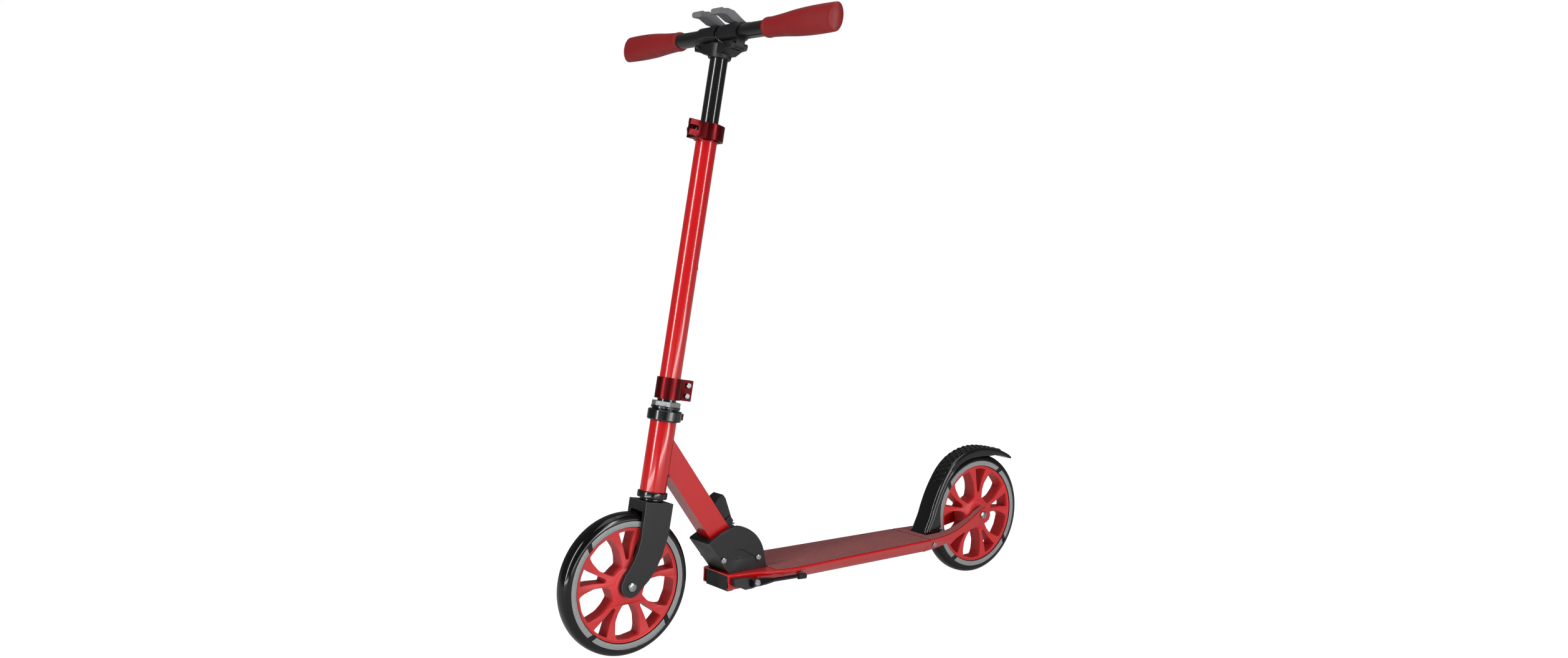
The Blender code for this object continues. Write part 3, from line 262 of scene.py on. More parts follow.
# grit sheet: mineral grit glued on a film and tinted, the grains drawn at 1.4 mm so they show
GRIT_SHEET = finish("dusty_red_grit_sheet", ("#94524F", "#87484A"), (0.82, 0.95), 30, 1.4, 0.12,
                    speck="#A96A66")
# die casting, black powder coat with a fine leather texture
BLACK_CASTING = finish("black_coated_casting", ("#101011", "#0B0B0C"), (0.38, 0.50), 22, 0.8, 0.020)
# where the powder pulls thin over an edge, the coat catches the light
# painted highlight: the bevels of the castings take a lighter grey that stands for the thin line of light
# along each edge
PAINTED_EDGE_HIGHLIGHT = finish("painted_highlight_on_casting_edge", ("#6E6E70", "#565658"), (0.30, 0.42), 9, 0.8, 0.010)
# latch plates are a lighter grey than the casting below; on the fender's raised lines the same grey is a
# painted highlight
LATCH_GREY_AND_RIB_HIGHLIGHT = finish("grey_latch_plate_and_painted_rib_highlight", ("#77777A", "#626265"), (0.38, 0.52), 12, 0.7, 0.012)
# black anodised tube, polished before the dye: long sharp highlights
BLACK_TUBE = finish("black_anodised_tube", ("#101011", "#0B0B0C"), (0.16, 0.24), 40, 1.5, 0.003, coat=0.5)
# glossy ABS from a polished mould
GLOSS_ABS = finish("gloss_black_abs", ("#0D0D0E", "#09090A"), (0.14, 0.24), 30, 2.5, 0.006, coat=0.4)
# eroded-texture polypropylene
MATT_PLASTIC = finish("matt_black_polypropylene", ("#161617", "#101011"), (0.55, 0.68), 15, 0.7, 0.030)
# cast polyurethane tyre, glossy from its mould, faintly swirled where the two pours met
TYRE_PU = finish("black_cast_polyurethane", ("#060607", "#040404"), (0.10, 0.18), 28, 4.0, 0.008)
# retroreflective film: tiny beads under a clear film, drawn at 1 mm
REFLECT_FILM = finish("grey_bead_reflector", ("#939495", "#858687"), (0.38, 0.48), 14, 1.0, 0.012,
                      speck="#A8A9AA")
# zinc-plated steel, turned
ZINC = finish("bright_zinc_steel", ("#B9BBBD", "#9FA1A4"), (0.22, 0.36), 6, 0.5, 0.004, metal=1.0)
# soft rubber shoe
BLACK_RUBBER = finish("black_rubber_shoe", ("#191919", "#131313"), (0.70, 0.82), 10, 0.8, 0.020)
# matt paint of the floor
FLOOR_PAINT = finish("pale_floor_paint", ("#BEBEBE", "#BABABA"), (0.80, 0.90), 900, 40.0, 0.02)
floor.data.materials.append(FLOOR_PAINT)
floor_shader = FLOOR_PAINT.node_tree.nodes["Principled BSDF"]
floor_shader.inputs["Emission Color"].default_value = (1.0, 1.0, 1.0, 1.0)
# the floor is lit from beneath for the eye alone, so it stays white without greying the black parts
FLOOR_SEEN, FLOOR_LIT = 0.82, 0.15
for_the_eye = add_node(FLOOR_PAINT.node_tree, "ShaderNodeLightPath").outputs["Is Camera Ray"]
from_beneath = add_node(FLOOR_PAINT.node_tree, "ShaderNodeMath",
                        {0: for_the_eye, 1: FLOOR_SEEN, 2: FLOOR_LIT}, operation="MULTIPLY_ADD")
FLOOR_PAINT.node_tree.links.new(from_beneath.outputs["Value"], floor_shader.inputs["Emission Strength"])
print("finishes:", [m.name for m in bpy.data.materials])

# %% [markdown]
# ## From arrays to pieces
#
# A shape is an array of points on a grid.

# %% Grid to mesh
def skin(grid, wrap_rows=False, wrap_columns=True, caps=True):
    """Quads between neighbours of a rows x columns grid of points, ends closed by one face each."""
    rows, columns = grid.shape[:2]
    index = np.arange(rows * columns).reshape(rows, columns)
    down = np.roll(index, -1, axis=0) if wrap_rows else index[1:]
    here = index if wrap_rows else index[:-1]
    if wrap_columns:
        quads = np.stack([here, np.roll(here, -1, 1), np.roll(down, -1, 1), down], -1)
    else:
        quads = np.stack([here[:, :-1], here[:, 1:], down[:, 1:], down[:, :-1]], -1)
    faces = quads.reshape(-1, 4).tolist()
    if caps and not wrap_rows:
        faces += [index[0][::-1].tolist(), index[-1].tolist()]
    return grid.reshape(-1, 3), faces


def finish_piece(name, verts, faces, base, material, body, nodes=(), angle=40.0, bevel=0.0, edge=None):
    mesh = bpy.data.meshes.new(name)
    mesh.from_pydata(np.asarray(verts).tolist(), [], faces)
    work = bmesh.new()
    work.from_mesh(mesh)
    bmesh.ops.remove_doubles(work, verts=work.verts, dist=2e-6)
    bmesh.ops.recalc_face_normals(work, faces=work.faces)
    work.to_mesh(mesh)
    work.free()
    mesh.transform(base)
    return dress(name, mesh, material, body, nodes, angle, bevel, edge)


def dress(name, mesh, material, body, nodes=(), angle=40.0, bevel=0.0, edge=None):
    mesh.polygons.foreach_set("use_smooth", [True] * len(mesh.polygons))
    mesh.set_sharp_from_angle(angle=math.radians(angle))
    piece = bpy.data.objects.new(name, mesh)
    bpy.context.scene.collection.objects.link(piece)
    piece.data.materials.append(material)
    if bevel:
        rounding = piece.modifiers.new("rounding", "BEVEL")
        rounding.width = bevel
        rounding.segments = 2
        rounding.limit_method = "ANGLE"
        rounding.angle_limit = math.radians(angle)
        rounding.harden_normals = True
        if edge:
            piece.data.materials.append(edge)
            rounding.material = 1
    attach(piece, body)
    if nodes:
        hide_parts(*nodes)
    return piece


def soften(points, radius, steps=4):
    """Closed outline with each corner cut by a small curve that leaves and meets the sides smoothly."""
    points = np.asarray(points, float)
    before = np.roll(points, 1, 0) - points
    after = np.roll(points, -1, 0) - points
    length_before = np.linalg.norm(before, axis=1, keepdims=True)
    length_after = np.linalg.norm(after, axis=1, keepdims=True)
    start = points + before / length_before * np.minimum(radius, 0.45 * length_before)
    end = points + after / length_after * np.minimum(radius, 0.45 * length_after)
    t = np.linspace(0.0, 1.0, steps + 1)[None, :, None]
    curve = (1 - t) ** 2 * start[:, None] + 2 * t * (1 - t) * points[:, None] + t ** 2 * end[:, None]
    return curve.reshape(-1, 2)


def lathe(profile, steps=96, across=False):
    """Closed (radius, height) profile turned about z, or about y when across."""
    profile = np.asarray(profile, float)
    turn = np.linspace(0.0, 2 * math.pi, steps, endpoint=False)
    radius, height = profile[:, 0][:, None], profile[:, 1][:, None]
    flat = np.broadcast_to(height, (len(profile), steps))
    round_x, round_y = radius * np.cos(turn), radius * np.sin(turn)
    parts = (round_x, flat, round_y) if across else (round_x, round_y, flat)
    return skin(np.stack(parts, -1), wrap_rows=True)


print("a softened square has", len(soften([(0, 0), (1, 0), (1, 1), (0, 1)], 0.1)), "points")

# %% [markdown]
# ## Round tubes and cups
#
# The column, the head tube, the handlebar halves and the headset's cups are turned shapes.
# A lathe of 96 steps with a softened profile keeps their outlines round and gives each cut
# end the small radius that catches a thin line of light.

# %% Tubes
def body_of(node):
    """Moving body that a CAD node belongs to."""
    return NODES[node]["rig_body"]


def turned_like(node, base, material, edge=0.0004, steps=96):
    """Tube with the node's own outer and inner radius and ends."""
    outer, inner, low, high = reach(node, base)
    profile = soften([(inner, low), (outer, low), (outer, high), (inner, high)], edge)
    verts, faces = lathe(profile, steps)
    return finish_piece(node + "_look", verts, faces, base, material, body_of(node), [node])


turned_like("outer_tube", STEER, RED_COAT)
turned_like("inner_tube", STEER, BLACK_TUBE)
turned_like("steerer", STEER, BLACK_TUBE)
turned_like("head_tube", STEER, RED_COAT)
turned_like("crown_race", STEER, GLOSS_ABS, 0.0008)
turned_like("lower_cup", STEER, GLOSS_ABS, 0.0014)
bar_low = seen_from("handlebar_left", STEER)
BAR_CENTRE = STEER @ Vector((0.0, 0.0, float((bar_low[:, 2].min() + bar_low[:, 2].max()) / 2)))
ACROSS = place(BAR_CENTRE, LEFT, STEER.to_3x3() @ Vector((0, 0, 1)))
for side_name in ("left", "right"):
    turned_like("handlebar_" + side_name, ACROSS, BLACK_TUBE)
print("bar centre", [round(v, 4) for v in BAR_CENTRE])

# %% [markdown]
# ## Wheels
#
# A 200 mm scooter wheel is a moulded nylon core with a polyurethane tyre cast round it. Ten
# spokes leave the hub in pairs, so large and small windows alternate. The windows are closed
# outlines with softened corners, the flat between them is tessellated, and a live Bevel rounds
# the spokes' long edges. The tyre is a lathe of a profile whose crown is a squashed ellipse.

# %% Core
SPOKE_PAIRS = 5
LARGE_WINDOW = ((0.0276, -19), (0.0400, -22.5), (0.0520, -22), (0.0680, -17.5), (0.0758, -14.5),
                (0.0762, 0), (0.0758, 14.5), (0.0680, 17.5), (0.0520, 22), (0.0400, 22.5),
                (0.0276, 19), (0.0266, 0))
SMALL_WINDOW = ((0.0360, -4.0), (0.0560, -6.6), (0.0758, -9.6), (0.0762, 0), (0.0758, 9.6),
                (0.0560, 6.6), (0.0360, 4.0))
DEPTHS = ((0.0, 0.0135), (0.0262, 0.0132), (0.0420, 0.0112), (0.0600, 0.0104), (0.0765, 0.0118),
          (0.1, 0.0118))


def polar(points, middle):
    """(radius, degrees) pairs turned by middle into flat x and z."""
    points = np.asarray(points, float)
    turn = np.radians(points[:, 1] + middle)
    return np.stack([points[:, 0] * np.cos(turn), points[:, 0] * np.sin(turn)], 1)


def ring_points(radius, steps):
    """Circle of a radius in even steps: radius times cosine and sine of the turn."""
    turn = np.linspace(0.0, 2 * math.pi, steps, endpoint=False)
    return np.stack([radius * np.cos(turn), radius * np.sin(turn)], 1)


def core_mesh(rim, hub, bore, rim_half, hub_half):
    """Dished disc with windows: two tessellated faces, window walls, a turned rim and a turned hub."""
    inner_rim = rim - 0.0026
    loops = [ring_points(inner_rim, 160), ring_points(hub, 80)]
    for i in range(SPOKE_PAIRS):
        middle = 270.0 + 72.0 * i
        loops.append(soften(polar(LARGE_WINDOW, middle), 0.0028, 3))
        loops.append(soften(polar(SMALL_WINDOW, middle + 36.0), 0.0016, 3))
    flat = np.concatenate(loops)
    count = len(flat)
    tris = tessellate_polygon([[Vector((x, z, 0.0)) for x, z in loop] for loop in loops])
    depth = np.interp(np.hypot(flat[:, 0], flat[:, 1]), *zip(*DEPTHS))
    verts = [np.stack([flat[:, 0], sign * depth, flat[:, 1]], 1) for sign in (-1, 1)]
    faces = [tuple(t) for t in tris] + [tuple(i + count for i in t) for t in tris]
    start = len(loops[0]) + len(loops[1])
    for loop in loops[2:]:
        a = np.arange(start, start + len(loop))
        b = np.roll(a, -1)
        faces += np.stack([a, b, b + count, a + count], 1).tolist()
        start += len(loop)
    total = 2 * count
    for first, size, rows in (
            (0, 160, ((inner_rim + 0.0005, -rim_half + 0.0004), (inner_rim + 0.0009, -rim_half),
                      (rim - 0.0004, -rim_half), (rim, -rim_half + 0.0004), (rim, rim_half - 0.0004),
                      (rim - 0.0004, rim_half), (inner_rim + 0.0009, rim_half),
                      (inner_rim + 0.0005, rim_half - 0.0004))),
            (160, 80, ((hub - 0.0014, -hub_half + 0.0006), (hub - 0.0024, -hub_half),
                       (bore + 0.0006, -hub_half),
                       (bore, -hub_half + 0.0006), (bore, hub_half - 0.0006), (bore + 0.0006, hub_half),
                       (hub - 0.0024, hub_half), (hub - 0.0014, hub_half - 0.0006)))):
        strip = [np.arange(first, first + size)]
        for radius, half in rows:
            circle = ring_points(radius, size)
            verts.append(np.stack([circle[:, 0], np.full(size, half), circle[:, 1]], 1))
            strip.append(np.arange(total, total + size))
            total += size
        strip.append(np.arange(count + first, count + first + size))
        for low, high in zip(strip, strip[1:]):
            faces += np.stack([low, np.roll(low, -1), np.roll(high, -1), high], 1).tolist()
    return np.concatenate(verts), faces

# %% [markdown]
# ## What the core carries
#
# The tyre is cast round the core, so its profile starts in the core's own seat. Each flank carries
# a thin reflecting ring cut by four slanted notches, and a ball bearing pressed into the hub.
# All of them are round about the axle, so each is a profile carried round it.

# %% Tyre, reflecting rings and bearings
def tyre_profile(bore, ring_in, ring_out, recess, half, radius):
    """Bore, recess for the rings, a small lip, then a crown that follows a squashed ellipse."""
    t = np.radians(np.linspace(0.0, 90.0, 15))
    crown_start = ring_out + 0.0011
    crown = np.stack([crown_start + (radius - crown_start) * np.sin(t),
                      half * np.cos(t) ** 0.72], 1)
    crown[-1, 1] = 0.0004
    side = [(bore, recess - 0.0010), (bore + 0.0003, recess), (ring_out + GAP, recess),
            (ring_out + 0.0005, half - 0.0002)]
    one = np.concatenate([side, crown, [(radius + 0.00006, 0.0002)]])
    other = one[::-1] * (1, -1)
    return np.concatenate([one, other])


def reflector(inner, outer, low, high, sign, notches, slant=2.6, gap=1.7):
    """Four flat arcs of softened section, their ends slanting, between dark notches."""
    section = soften([(inner, low), (outer, low), (outer, high), (inner, high)], 0.00025, 2)
    lean = (section[:, 0] - inner) / (outer - inner) * slant
    verts, faces = [], []
    for first, last in zip(notches, notches[1:] + [notches[0] + 360.0]):
        along = np.linspace(first + gap, last - gap - slant, 60)[:, None]
        turn = np.radians(along + lean[None, :])
        radius = np.broadcast_to(section[:, 0], turn.shape)
        y = np.broadcast_to(sign * section[:, 1], turn.shape)
        points, quads = skin(np.stack([radius * np.cos(turn), y, radius * np.sin(turn)], -1))
        offset = sum(len(v) for v in verts)
        verts.append(points)
        faces += [[i + offset for i in quad] for quad in quads]
    return np.concatenate(verts), faces


def flank(node, hub):
    """Radii and y range of a wheel node about its hub."""
    points = seen_from(node, Matrix.Translation(hub))
    radius = np.hypot(points[:, 0], points[:, 2])
    return radius.max(), radius.min(), points[:, 1].min(), points[:, 1].max()


def dress_wheel(prefix, hub, turn, notches):
    """Core, tyre, two rings and two bearings about a hub, the core turned by some degrees."""
    base = Matrix.Translation(hub)
    spin = base @ Matrix.Rotation(-math.radians(turn), 4, "Y")
    rim, bore, low, high = flank(prefix + "_core", hub)
    verts, faces = core_mesh(rim, 0.0240, bore, 0.0130, high)
    finish_piece(prefix + "_core_look", verts, faces, spin, RED_NYLON, prefix, [prefix + "_core"],
                 angle=50.0, bevel=0.0011)
    ring_out, ring_in, face, proud = flank(prefix + "_ring_left", hub)
    radius, bore, low, high = flank(prefix + "_tyre", hub)
    profile = tyre_profile(bore, ring_in, ring_out, face - GAP, high, radius)
    verts, faces = lathe(profile, 180, across=True)
    finish_piece(prefix + "_tyre_look", verts, faces, base, TYRE_PU, prefix, [prefix + "_tyre"],
                 angle=30.0)
    for sign, label in ((1, "left"), (-1, "right")):
        verts, faces = reflector(ring_in, ring_out, face, proud, sign, notches)
        ring = f"{prefix}_ring_{label}"
        finish_piece(ring + "_look", verts, faces, base, REFLECT_FILM, prefix, [ring])
        bearing = f"{prefix}_bearing_{label}"
        outer, inner, low, high = flank(bearing, hub)
        near, far = (low, high) if sign > 0 else (-high, -low)
        seal = [(inner, near), (outer, near), (outer, far - 0.0007), (outer - 0.0018, far - 0.0007),
                (outer - 0.0022, far - 0.0012), (inner + 0.0026, far - 0.0012),
                (inner + 0.0020, far - 0.0003), (inner, far - 0.0003)]
        profile = soften([(r, sign * y) for r, y in seal], 0.0002, 2)
        verts, faces = lathe(profile, 64, across=True)
        finish_piece(bearing + "_look", verts, faces, base, ZINC, prefix, [bearing])


dress_wheel("front_wheel", FRONT_HUB, 0.0, [46.0, 133.0, 224.0, 313.0])
dress_wheel("rear_wheel", REAR_HUB, 8.0, [40.0, 128.0, 219.0, 308.0])
print("wheel radius", round(float(flank("front_wheel_tyre", FRONT_HUB)[0]), 4))

# %% [markdown]
# ## Grips
#
# A palm grip is moulded rubber: round at the flange, swelling to an oval pad, and cut off
# square at the end. Its section is an ellipse whose two half-axes follow smooth curves along
# the bar. The end face keeps a small radius, which shows as a lighter line.

# %% Grips
GRIP_CURVE = ((0.0, 0.0126, 0.0126), (0.0012, 0.0138, 0.0138), (0.0052, 0.0141, 0.0140),
              (0.0080, 0.0137, 0.0136), (0.0200, 0.0142, 0.0138), (0.0400, 0.0155, 0.0152),
              (0.0640, 0.0176, 0.0166), (0.0900, 0.0190, 0.0160), (0.1150, 0.0196, 0.0138),
              (0.1330, 0.0195, 0.0118), (0.1405, 0.0193, 0.0112), (0.1424, 0.0188, 0.0107),
              (0.1433, 0.0178, 0.0098))


def smooth_rows(rows, steps):
    """Cubic curve through each column of the rows, by natural parameter, at many steps."""
    rows = np.asarray(rows, float)
    at = np.linspace(0, len(rows) - 1, steps)
    i = np.clip(at.astype(int), 0, len(rows) - 2)
    t = (at - i)[:, None]
    padded = np.concatenate([2 * rows[:1] - rows[1:2], rows, 2 * rows[-1:] - rows[-2:-1]])
    p0, p1, p2, p3 = padded[i], padded[i + 1], padded[i + 2], padded[i + 3]
    return 0.5 * (2 * p1 + (p2 - p0) * t + (2 * p0 - 5 * p1 + 4 * p2 - p3) * t ** 2
                  + (3 * p1 - p0 - 3 * p2 + p3) * t ** 3)


for side_name, sign in (("left", 1), ("right", -1)):
    node = "grip_" + side_name
    points = seen_from(node, ACROSS)
    start = np.abs(points[:, 2]).min()
    bar_radius = np.hypot(points[:, 0], points[:, 1]).min()
    curve = smooth_rows(GRIP_CURVE, 110)
    turn = np.linspace(0, 2 * math.pi, 96, endpoint=False)
    along = np.broadcast_to(sign * (start + curve[:, 0])[:, None], (len(curve), 96))
    tall, wide = curve[:, 2][:, None] * np.cos(turn), curve[:, 1][:, None] * np.sin(turn)
    verts, faces = skin(np.stack([tall, wide, along], -1))
    finish_piece(node + "_look", verts, faces, ACROSS, RED_RUBBER, body_of(node), [node], angle=50.0)
print("grips start", round(float(start), 4), "from the middle")

# %% [markdown]
# ## Brake fender
#
# The fender is one glossy moulding over the tyre. Seen from the side it is a band between two
# radii that change with the angle round the wheel; across, it is an upside-down U. Both are
# curves, so the shell is a grid: angle round the wheel by distance round the section. Bars
# moulded on its crown give the foot some hold.

# %% Fender shell and bars
# degrees round the wheel, outer radius, radius of the skirt
FENDER_LINE = ((-6.5, 0.1246, 0.0880), (4.0, 0.1133, 0.0895), (12.0, 0.1094, 0.0908),
               (21.3, 0.1071, 0.0924), (35.6, 0.1064, 0.0958), (50.3, 0.1089, 0.0986),
               (59.2, 0.1104, 0.0991), (67.8, 0.1110, 0.0990), (78.1, 0.1114, 0.0983),
               (88.0, 0.1119, 0.0971), (96.1, 0.1121, 0.0974), (105.9, 0.1130, 0.0990),
               (114.5, 0.1152, 0.1040), (125.0, 0.1184, 0.1099), (130.0, 0.1201, 0.1130),
               (133.0, 0.1206, 0.1160))
fender_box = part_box("brake_fender")
FENDER_HALF = fender_box[1].y
ROOF = 0.1040


def fender_shell():
    """Rows are angles round the wheel; columns run up one flank, over the crown and back inside."""
    angle, outer, skirt = smooth_rows(FENDER_LINE, 150).T
    roof = np.minimum(np.maximum(ROOF, skirt), outer - 0.0020)
    wall = 0.0022
    half = FENDER_HALF
    t = np.radians(np.linspace(0.0, 90.0, 7))
    corner = 0.0045
    rows = []
    for sign in (1, -1):
        y = [np.full_like(outer, sign * half),
             *[np.full_like(outer, sign * (half - corner * (1 - math.cos(a)))) for a in t]]
        r = [skirt, *[outer - corner + corner * math.sin(a) - 0.0006 for a in t]]
        rows.append((y, r))
    y = rows[0][0] + [np.zeros_like(outer)] + rows[1][0][::-1]
    r = rows[0][1] + [outer] + rows[1][1][::-1]
    y += [np.full_like(outer, -(half - wall)), np.full_like(outer, -(half - wall)),
          np.full_like(outer, half - wall), np.full_like(outer, half - wall)]
    r += [skirt, roof, roof, skirt]
    r = np.stack(r, 1)
    turn = np.radians(angle)[:, None]
    return np.stack([r * np.cos(turn), np.stack(y, 1), r * np.sin(turn)], -1)


verts, faces = skin(fender_shell())
REAR = Matrix.Translation(REAR_HUB)
shell = finish_piece("brake_fender_look", verts, faces, REAR, GLOSS_ABS, "fender", ["brake_fender"],
                     angle=45.0)


def fender_bars():
    """Short raised bars in three columns across the crown, each a softened block bent to it."""
    bar_verts, bar_faces = [], []
    section = soften([(-1, -1), (1, -1), (1, 1), (-1, 1)], 0.35, 2)
    for middle in np.arange(38.0, 118.0, 5.6):
        for lane, y in enumerate((-0.0095, 0.0, 0.0095)):
            shift = 0.0 if lane == 1 else 2.4
            outer = np.interp(middle + shift, *list(zip(*FENDER_LINE))[:2])
            lift = np.array([-0.0012, 0.0004, 0.0010])
            shrink = np.array([1.0, 1.0, 0.82])
            turn = np.radians(middle + shift + section[None, :, 0] * 1.35 * shrink[:, None])
            span = y + section[None, :, 1] * 0.0034 * shrink[:, None]
            radius = (outer + lift)[:, None] + 0 * turn
            grid = np.stack([radius * np.cos(turn), span, radius * np.sin(turn)], -1)
            points, quads = skin(grid)
            offset = sum(len(v) for v in bar_verts)
            bar_verts.append(points)
            bar_faces += [[i + offset for i in quad] for quad in quads]
    return np.concatenate(bar_verts), bar_faces


verts, faces = fender_bars()
finish_piece("fender_bars", verts, faces, REAR, GLOSS_ABS, "fender", angle=35.0)

# the two raised lines down each flank below the bars, in the latch grey: a painted highlight along each
# rib
for sign in (1, -1):
    for inset in (0.0, 0.0052):
        angle, outer, skirt = smooth_rows(FENDER_LINE, 150)[:52].T
        radius = outer - 0.0042 - inset
        turn = np.radians(angle)
        middle = np.stack([radius * np.cos(turn), np.full_like(turn, sign * FENDER_HALF),
                           radius * np.sin(turn)], 1)
        ahead = np.gradient(middle, axis=0)
        ahead /= np.linalg.norm(ahead, axis=1, keepdims=True)
        out = np.stack([np.cos(turn), 0 * turn, np.sin(turn)], 1)
        ring = np.linspace(0, 2 * math.pi, 10, endpoint=False)
        around = (np.cos(ring)[None, :, None] * out[:, None]
                  + np.sin(ring)[None, :, None] * np.array([0.0, 1.0, 0.0]))
        tube = middle[:, None] + 0.0007 * around
        verts, faces = skin(tube)
        side_name = "left" if sign > 0 else "right"
        finish_piece(f"fender_line_{side_name}_{round(inset * 10000)}", verts, faces, REAR, LATCH_GREY_AND_RIB_HIGHLIGHT,
                     "fender")
print("fender shell", len(shell.data.polygons), "faces")

# %% [markdown]
# ## Castings, plates and bolts
#
# The rest keeps its CAD shape. A real casting or bent plate has no knife edges, and a thin
# bright line runs along each one. So a copy of the node is welded, its flat faces are joined,
# and a live Bevel rounds the edges. On the castings the bevel's faces take a lighter grey, a
# painted highlight that stands for that thin bright line.

# %% Refine the carried-over nodes
def refine(node, material, width, edge=None, angle=32.0, below=None, name=None):
    """Welded copy of a CAD node with rounded edges; below keeps only what is under that height."""
    work = bmesh.new()
    work.from_mesh(NODES[node].data)
    bmesh.ops.remove_doubles(work, verts=work.verts, dist=1e-5)
    if below is not None:
        everything = list(work.verts) + list(work.edges) + list(work.faces)
        bmesh.ops.bisect_plane(work, geom=everything, plane_co=(0, 0, below), plane_no=(0, 0, 1),
                               clear_outer=True)
        bmesh.ops.holes_fill(work, edges=[e for e in work.edges if e.is_boundary])
    bmesh.ops.dissolve_limit(work, angle_limit=math.radians(1.0), verts=work.verts, edges=work.edges)
    mesh = bpy.data.meshes.new(name or node + "_look")
    work.to_mesh(mesh)
    work.free()
    return dress(name or node + "_look", mesh, material, body_of(node), [] if name else [node],
                 angle, width, edge)


# where a lighter grey edge finish is given for the bevels, it is a painted highlight along the edges
REFINED = {
    "deck_extrusion": (RED_COAT, 0.0006, None), "rear_fork": (RED_COAT, 0.0008, None),
    "down_tube": (RED_COAT, 0.0012, None), "deck_sheet": (GRIT_SHEET, 0.0002, None),
    "rear_sheet": (GRIT_SHEET, 0.0002, None), "nose_cap": (MATT_PLASTIC, 0.0003, None),
    "fork": (BLACK_CASTING, 0.0007, PAINTED_EDGE_HIGHLIGHT),
    "fold_housing": (BLACK_CASTING, 0.0004, PAINTED_EDGE_HIGHLIGHT),
    "t_head": (BLACK_CASTING, 0.0004, PAINTED_EDGE_HIGHLIGHT), "stem_foot": (BLACK_CASTING, 0.0006, None),
    "bar_sleeve_left": (BLACK_CASTING, 0.0003, None), "bar_sleeve_right": (BLACK_CASTING, 0.0003, None),
    "bar_latch_left": (LATCH_GREY_AND_RIB_HIGHLIGHT, 0.0004, PAINTED_EDGE_HIGHLIGHT),
    "bar_latch_right": (LATCH_GREY_AND_RIB_HIGHLIGHT, 0.0004, PAINTED_EDGE_HIGHLIGHT),
    "lever_bracket": (BLACK_CASTING, 0.0003, None),
    "release_lever": (MATT_PLASTIC, 0.0004, PAINTED_EDGE_HIGHLIGHT),
    "upper_cup": (GLOSS_ABS, 0.0004, None), "lock_nut": (ZINC, 0.0005, None),
    "lower_clamp": (RED_ANODISED, 0.0005, None), "upper_clamp": (RED_ANODISED, 0.0005, None),
    "clamp_lever": (RED_ANODISED, 0.0005, None), "kick_bracket": (BLACK_CASTING, 0.0005, None),
    "kick_leg": (GLOSS_ABS, 0.0003, None), "kick_foot": (BLACK_RUBBER, 0.0004, None),
    "height_button": (GLOSS_ABS, 0.0002, None), "fold_pin": (BLACK_TUBE, 0.0003, None),
}
BOLTS = ("fender_rod", "kick_bolt", "housing_bolt_1", "housing_bolt_2", "clamp_screw_1", "clamp_screw_2",
         "upper_clamp_bolt", "rear_axle", "front_axle", "hinge_pin_left", "hinge_pin_right")
for node, (material, width, edge) in REFINED.items():
    refine(node, material, width, edge)
for node in BOLTS:
    refine(node, ZINC, 0.0002)
refine("brake_fender", GLOSS_ABS, 0.0003, below=REAR_HUB.z - 0.0128, name="fender_root")
print("refined", len(REFINED) + len(BOLTS), "nodes; left as they are:",
      [n for n, o in NODES.items() if not o.hide_render])

# %% [markdown]
# ## Small relief
#
# Socket heads in the axle bolts, the arch cast into each cheek of the folding joint, the collar
# round the height button and the wire bail under the handlebar are small, but they are what
# the eye checks first. Each is a section carried along a path.

# %% A round wire along a path
def wire(path, radius, steps=12):
    """Tube round a path of points: circles in the plane of two normals carried along it."""
    path = np.asarray(path, float)
    ahead = np.gradient(path, axis=0)
    ahead /= np.linalg.norm(ahead, axis=1, keepdims=True)
    guide = np.array([0.0, 1.0, 0.0]) if abs(ahead[0][1]) < 0.8 else np.array([0.0, 0.0, 1.0])
    first = np.cross(ahead, guide)
    first /= np.linalg.norm(first, axis=1, keepdims=True)
    second = np.cross(ahead, first)
    ring = np.linspace(0, 2 * math.pi, steps, endpoint=False)
    return skin(path[:, None] + radius * (np.cos(ring)[None, :, None] * first[:, None]
                                          + np.sin(ring)[None, :, None] * second[:, None]))

# %% [markdown]
# ## Arch on the cheeks
#
# The mould of the housing leaves a raised arch over the pivot on each cheek. It runs from one bolt
# to the other, so its points hang on the bolts and the pivot, and a thin wire follows them.

# %% Arch on each cheek of the folding joint
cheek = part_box("fold_housing")[1].y
bolt_a, bolt_b = [(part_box(n)[0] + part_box(n)[1]) / 2 for n in ("housing_bolt_1", "housing_bolt_2")]
arch = np.array([(bolt_a.x - 0.0050, bolt_a.z - 0.0048), (bolt_a.x - 0.0105, bolt_a.z + 0.0020),
                 (bolt_a.x - 0.0180, bolt_a.z + 0.0088), (PIVOT.x + 0.0015, PIVOT.z + 0.0105),
                 (PIVOT.x - 0.0085, PIVOT.z + 0.0086), (PIVOT.x - 0.0200, PIVOT.z + 0.0012),
                 (bolt_b.x + 0.0060, bolt_b.z + 0.0020), (bolt_b.x + 0.0010, bolt_b.z - 0.0062)])
arch = smooth_rows(arch, 60)
for sign, side_name in ((1, "left"), (-1, "right")):
    path = np.stack([arch[:, 0], np.full(60, sign * cheek), arch[:, 1]], 1)
    verts, faces = wire(path, 0.0008)
    finish_piece("cheek_arch_" + side_name, verts, faces, Matrix(), BLACK_CASTING, "deck")

# %% [markdown]
# ## Socket heads
#
# The axle bolts are driven by a hexagon key. The well's radius is the distance to a hexagon's side,
# which is its half width divided by the cosine of the angle from the side's middle.

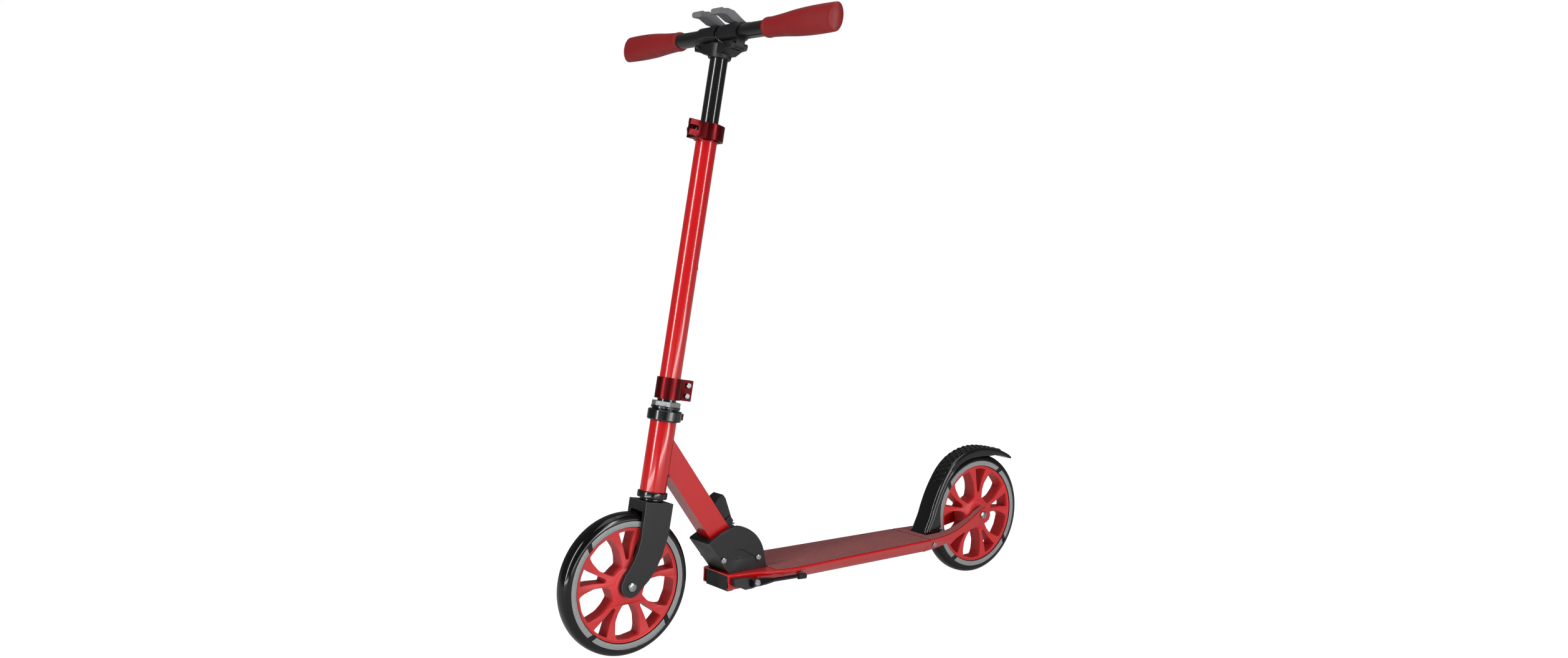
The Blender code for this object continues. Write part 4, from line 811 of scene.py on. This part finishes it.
# %% Socket heads of the axle bolts
def socket_head(name, point, sign, body, radius):
    """Dome with a six-sided well: the well's radius follows a hexagon as the angle turns."""
    turn = np.linspace(0, 2 * math.pi, 72, endpoint=False)
    hexagon = 0.0022 / np.cos((turn % (math.pi / 3)) - math.pi / 6)
    rows = [(radius + 0 * turn, 0.0), (radius + 0 * turn, 0.0012), (radius * 0.94 + 0 * turn, 0.0022),
            (radius * 0.74 + 0 * turn, 0.0031), (hexagon * 1.08, 0.0033), (hexagon, 0.0031),
            (hexagon, 0.0008), (hexagon * 0.05, 0.0006)]
    grid = np.stack([np.stack([r * np.cos(turn), sign * np.full_like(turn, h), r * np.sin(turn)], -1)
                     for r, h in rows])
    verts, faces = skin(grid)
    return finish_piece(name, verts, faces, Matrix.Translation(point), ZINC, body, angle=30.0)


for node, hub, body in (("front_axle", FRONT_HUB, "steering"), ("rear_axle", REAR_HUB, "deck")):
    low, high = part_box(node)
    for sign, y, side_name in ((1, high.y, "left"), (-1, low.y, "right")):
        socket_head(f"{node}_socket_{side_name}", (hub.x, y - sign * 0.0026, hub.z), sign, body, 0.0066)

# %% [markdown]
# ## Collar and button hole
#
# The sprung button comes through a hole in the outer tube, inside a small moulded collar. The
# collar is turned about the button's own axis, and the tube is cut on that axis.

# %% Collar round the height button
button_points = seen_from("height_button", STEER)
button_at = STEER @ Vector((0.0, 0.0, float(button_points[:, 2].mean())))
tube_radius = reach("outer_tube", STEER)[0]
back = STEER.to_3x3() @ Vector((-1.0, 0.0, 0.0))
collar_base = place(button_at + back * tube_radius, back)
profile = soften([(0.0031, -0.0006), (0.0052, -0.0010), (0.0052, 0.0005), (0.0031, 0.0008)], 0.0003, 3)
verts, faces = lathe(profile, 48)
finish_piece("button_collar", verts, faces, collar_base, GLOSS_ABS, "steering")


def drill(piece, base, radius, low, high):
    """Round hole from low to high along the base's z, cut once and kept as plain mesh."""
    rings = ring_points(radius, 48)
    verts, faces = skin(np.stack([np.column_stack([rings, np.full(48, h)]) for h in (low, high)]))
    work = bmesh.new()
    cutter_mesh = bpy.data.meshes.new("cutter")
    cutter_mesh.from_pydata(verts.tolist(), [], faces)
    work.from_mesh(cutter_mesh)
    bmesh.ops.recalc_face_normals(work, faces=work.faces)
    work.to_mesh(cutter_mesh)
    work.free()
    cutter_mesh.transform(base)
    cutter = bpy.data.objects.new("cutter", cutter_mesh)
    bpy.context.scene.collection.objects.link(cutter)
    hole = piece.modifiers.new("hole", "BOOLEAN")
    hole.solver = "EXACT"
    hole.object = cutter
    solved = piece.evaluated_get(bpy.context.evaluated_depsgraph_get())
    drilled = bpy.data.meshes.new_from_object(solved)
    piece.modifiers.remove(hole)
    piece.data = drilled
    drilled.set_sharp_from_angle(angle=math.radians(40.0))
    bpy.data.objects.remove(cutter, do_unlink=True)


drill(bpy.data.objects["outer_tube_look"], collar_base, 0.0031, -0.0040, 0.0020)

# %% [markdown]
# ## Wire bail
#
# A bent wire under the handlebar's middle holds the folded halves. Its seven points are given
# from the bar's height on the column, and a smooth curve joins them.

# %% Wire bail that keeps the folded handlebar halves
bail = smooth_rows([(0.0140, -0.0300, -0.0200), (0.0235, -0.0290, -0.0175), (0.0265, -0.0180, -0.0120),
                    (0.0270, 0.0, -0.0105), (0.0265, 0.0180, -0.0120), (0.0235, 0.0290, -0.0175),
                    (0.0140, 0.0300, -0.0200)], 60)
bar_up = (STEER.inverted() @ BAR_CENTRE).z
verts, faces = wire(bail + np.array([0.0, 0.0, bar_up]), 0.0011)
finish_piece("bar_bail", verts, faces, STEER, BLACK_TUBE, "telescope")
print("small relief added")
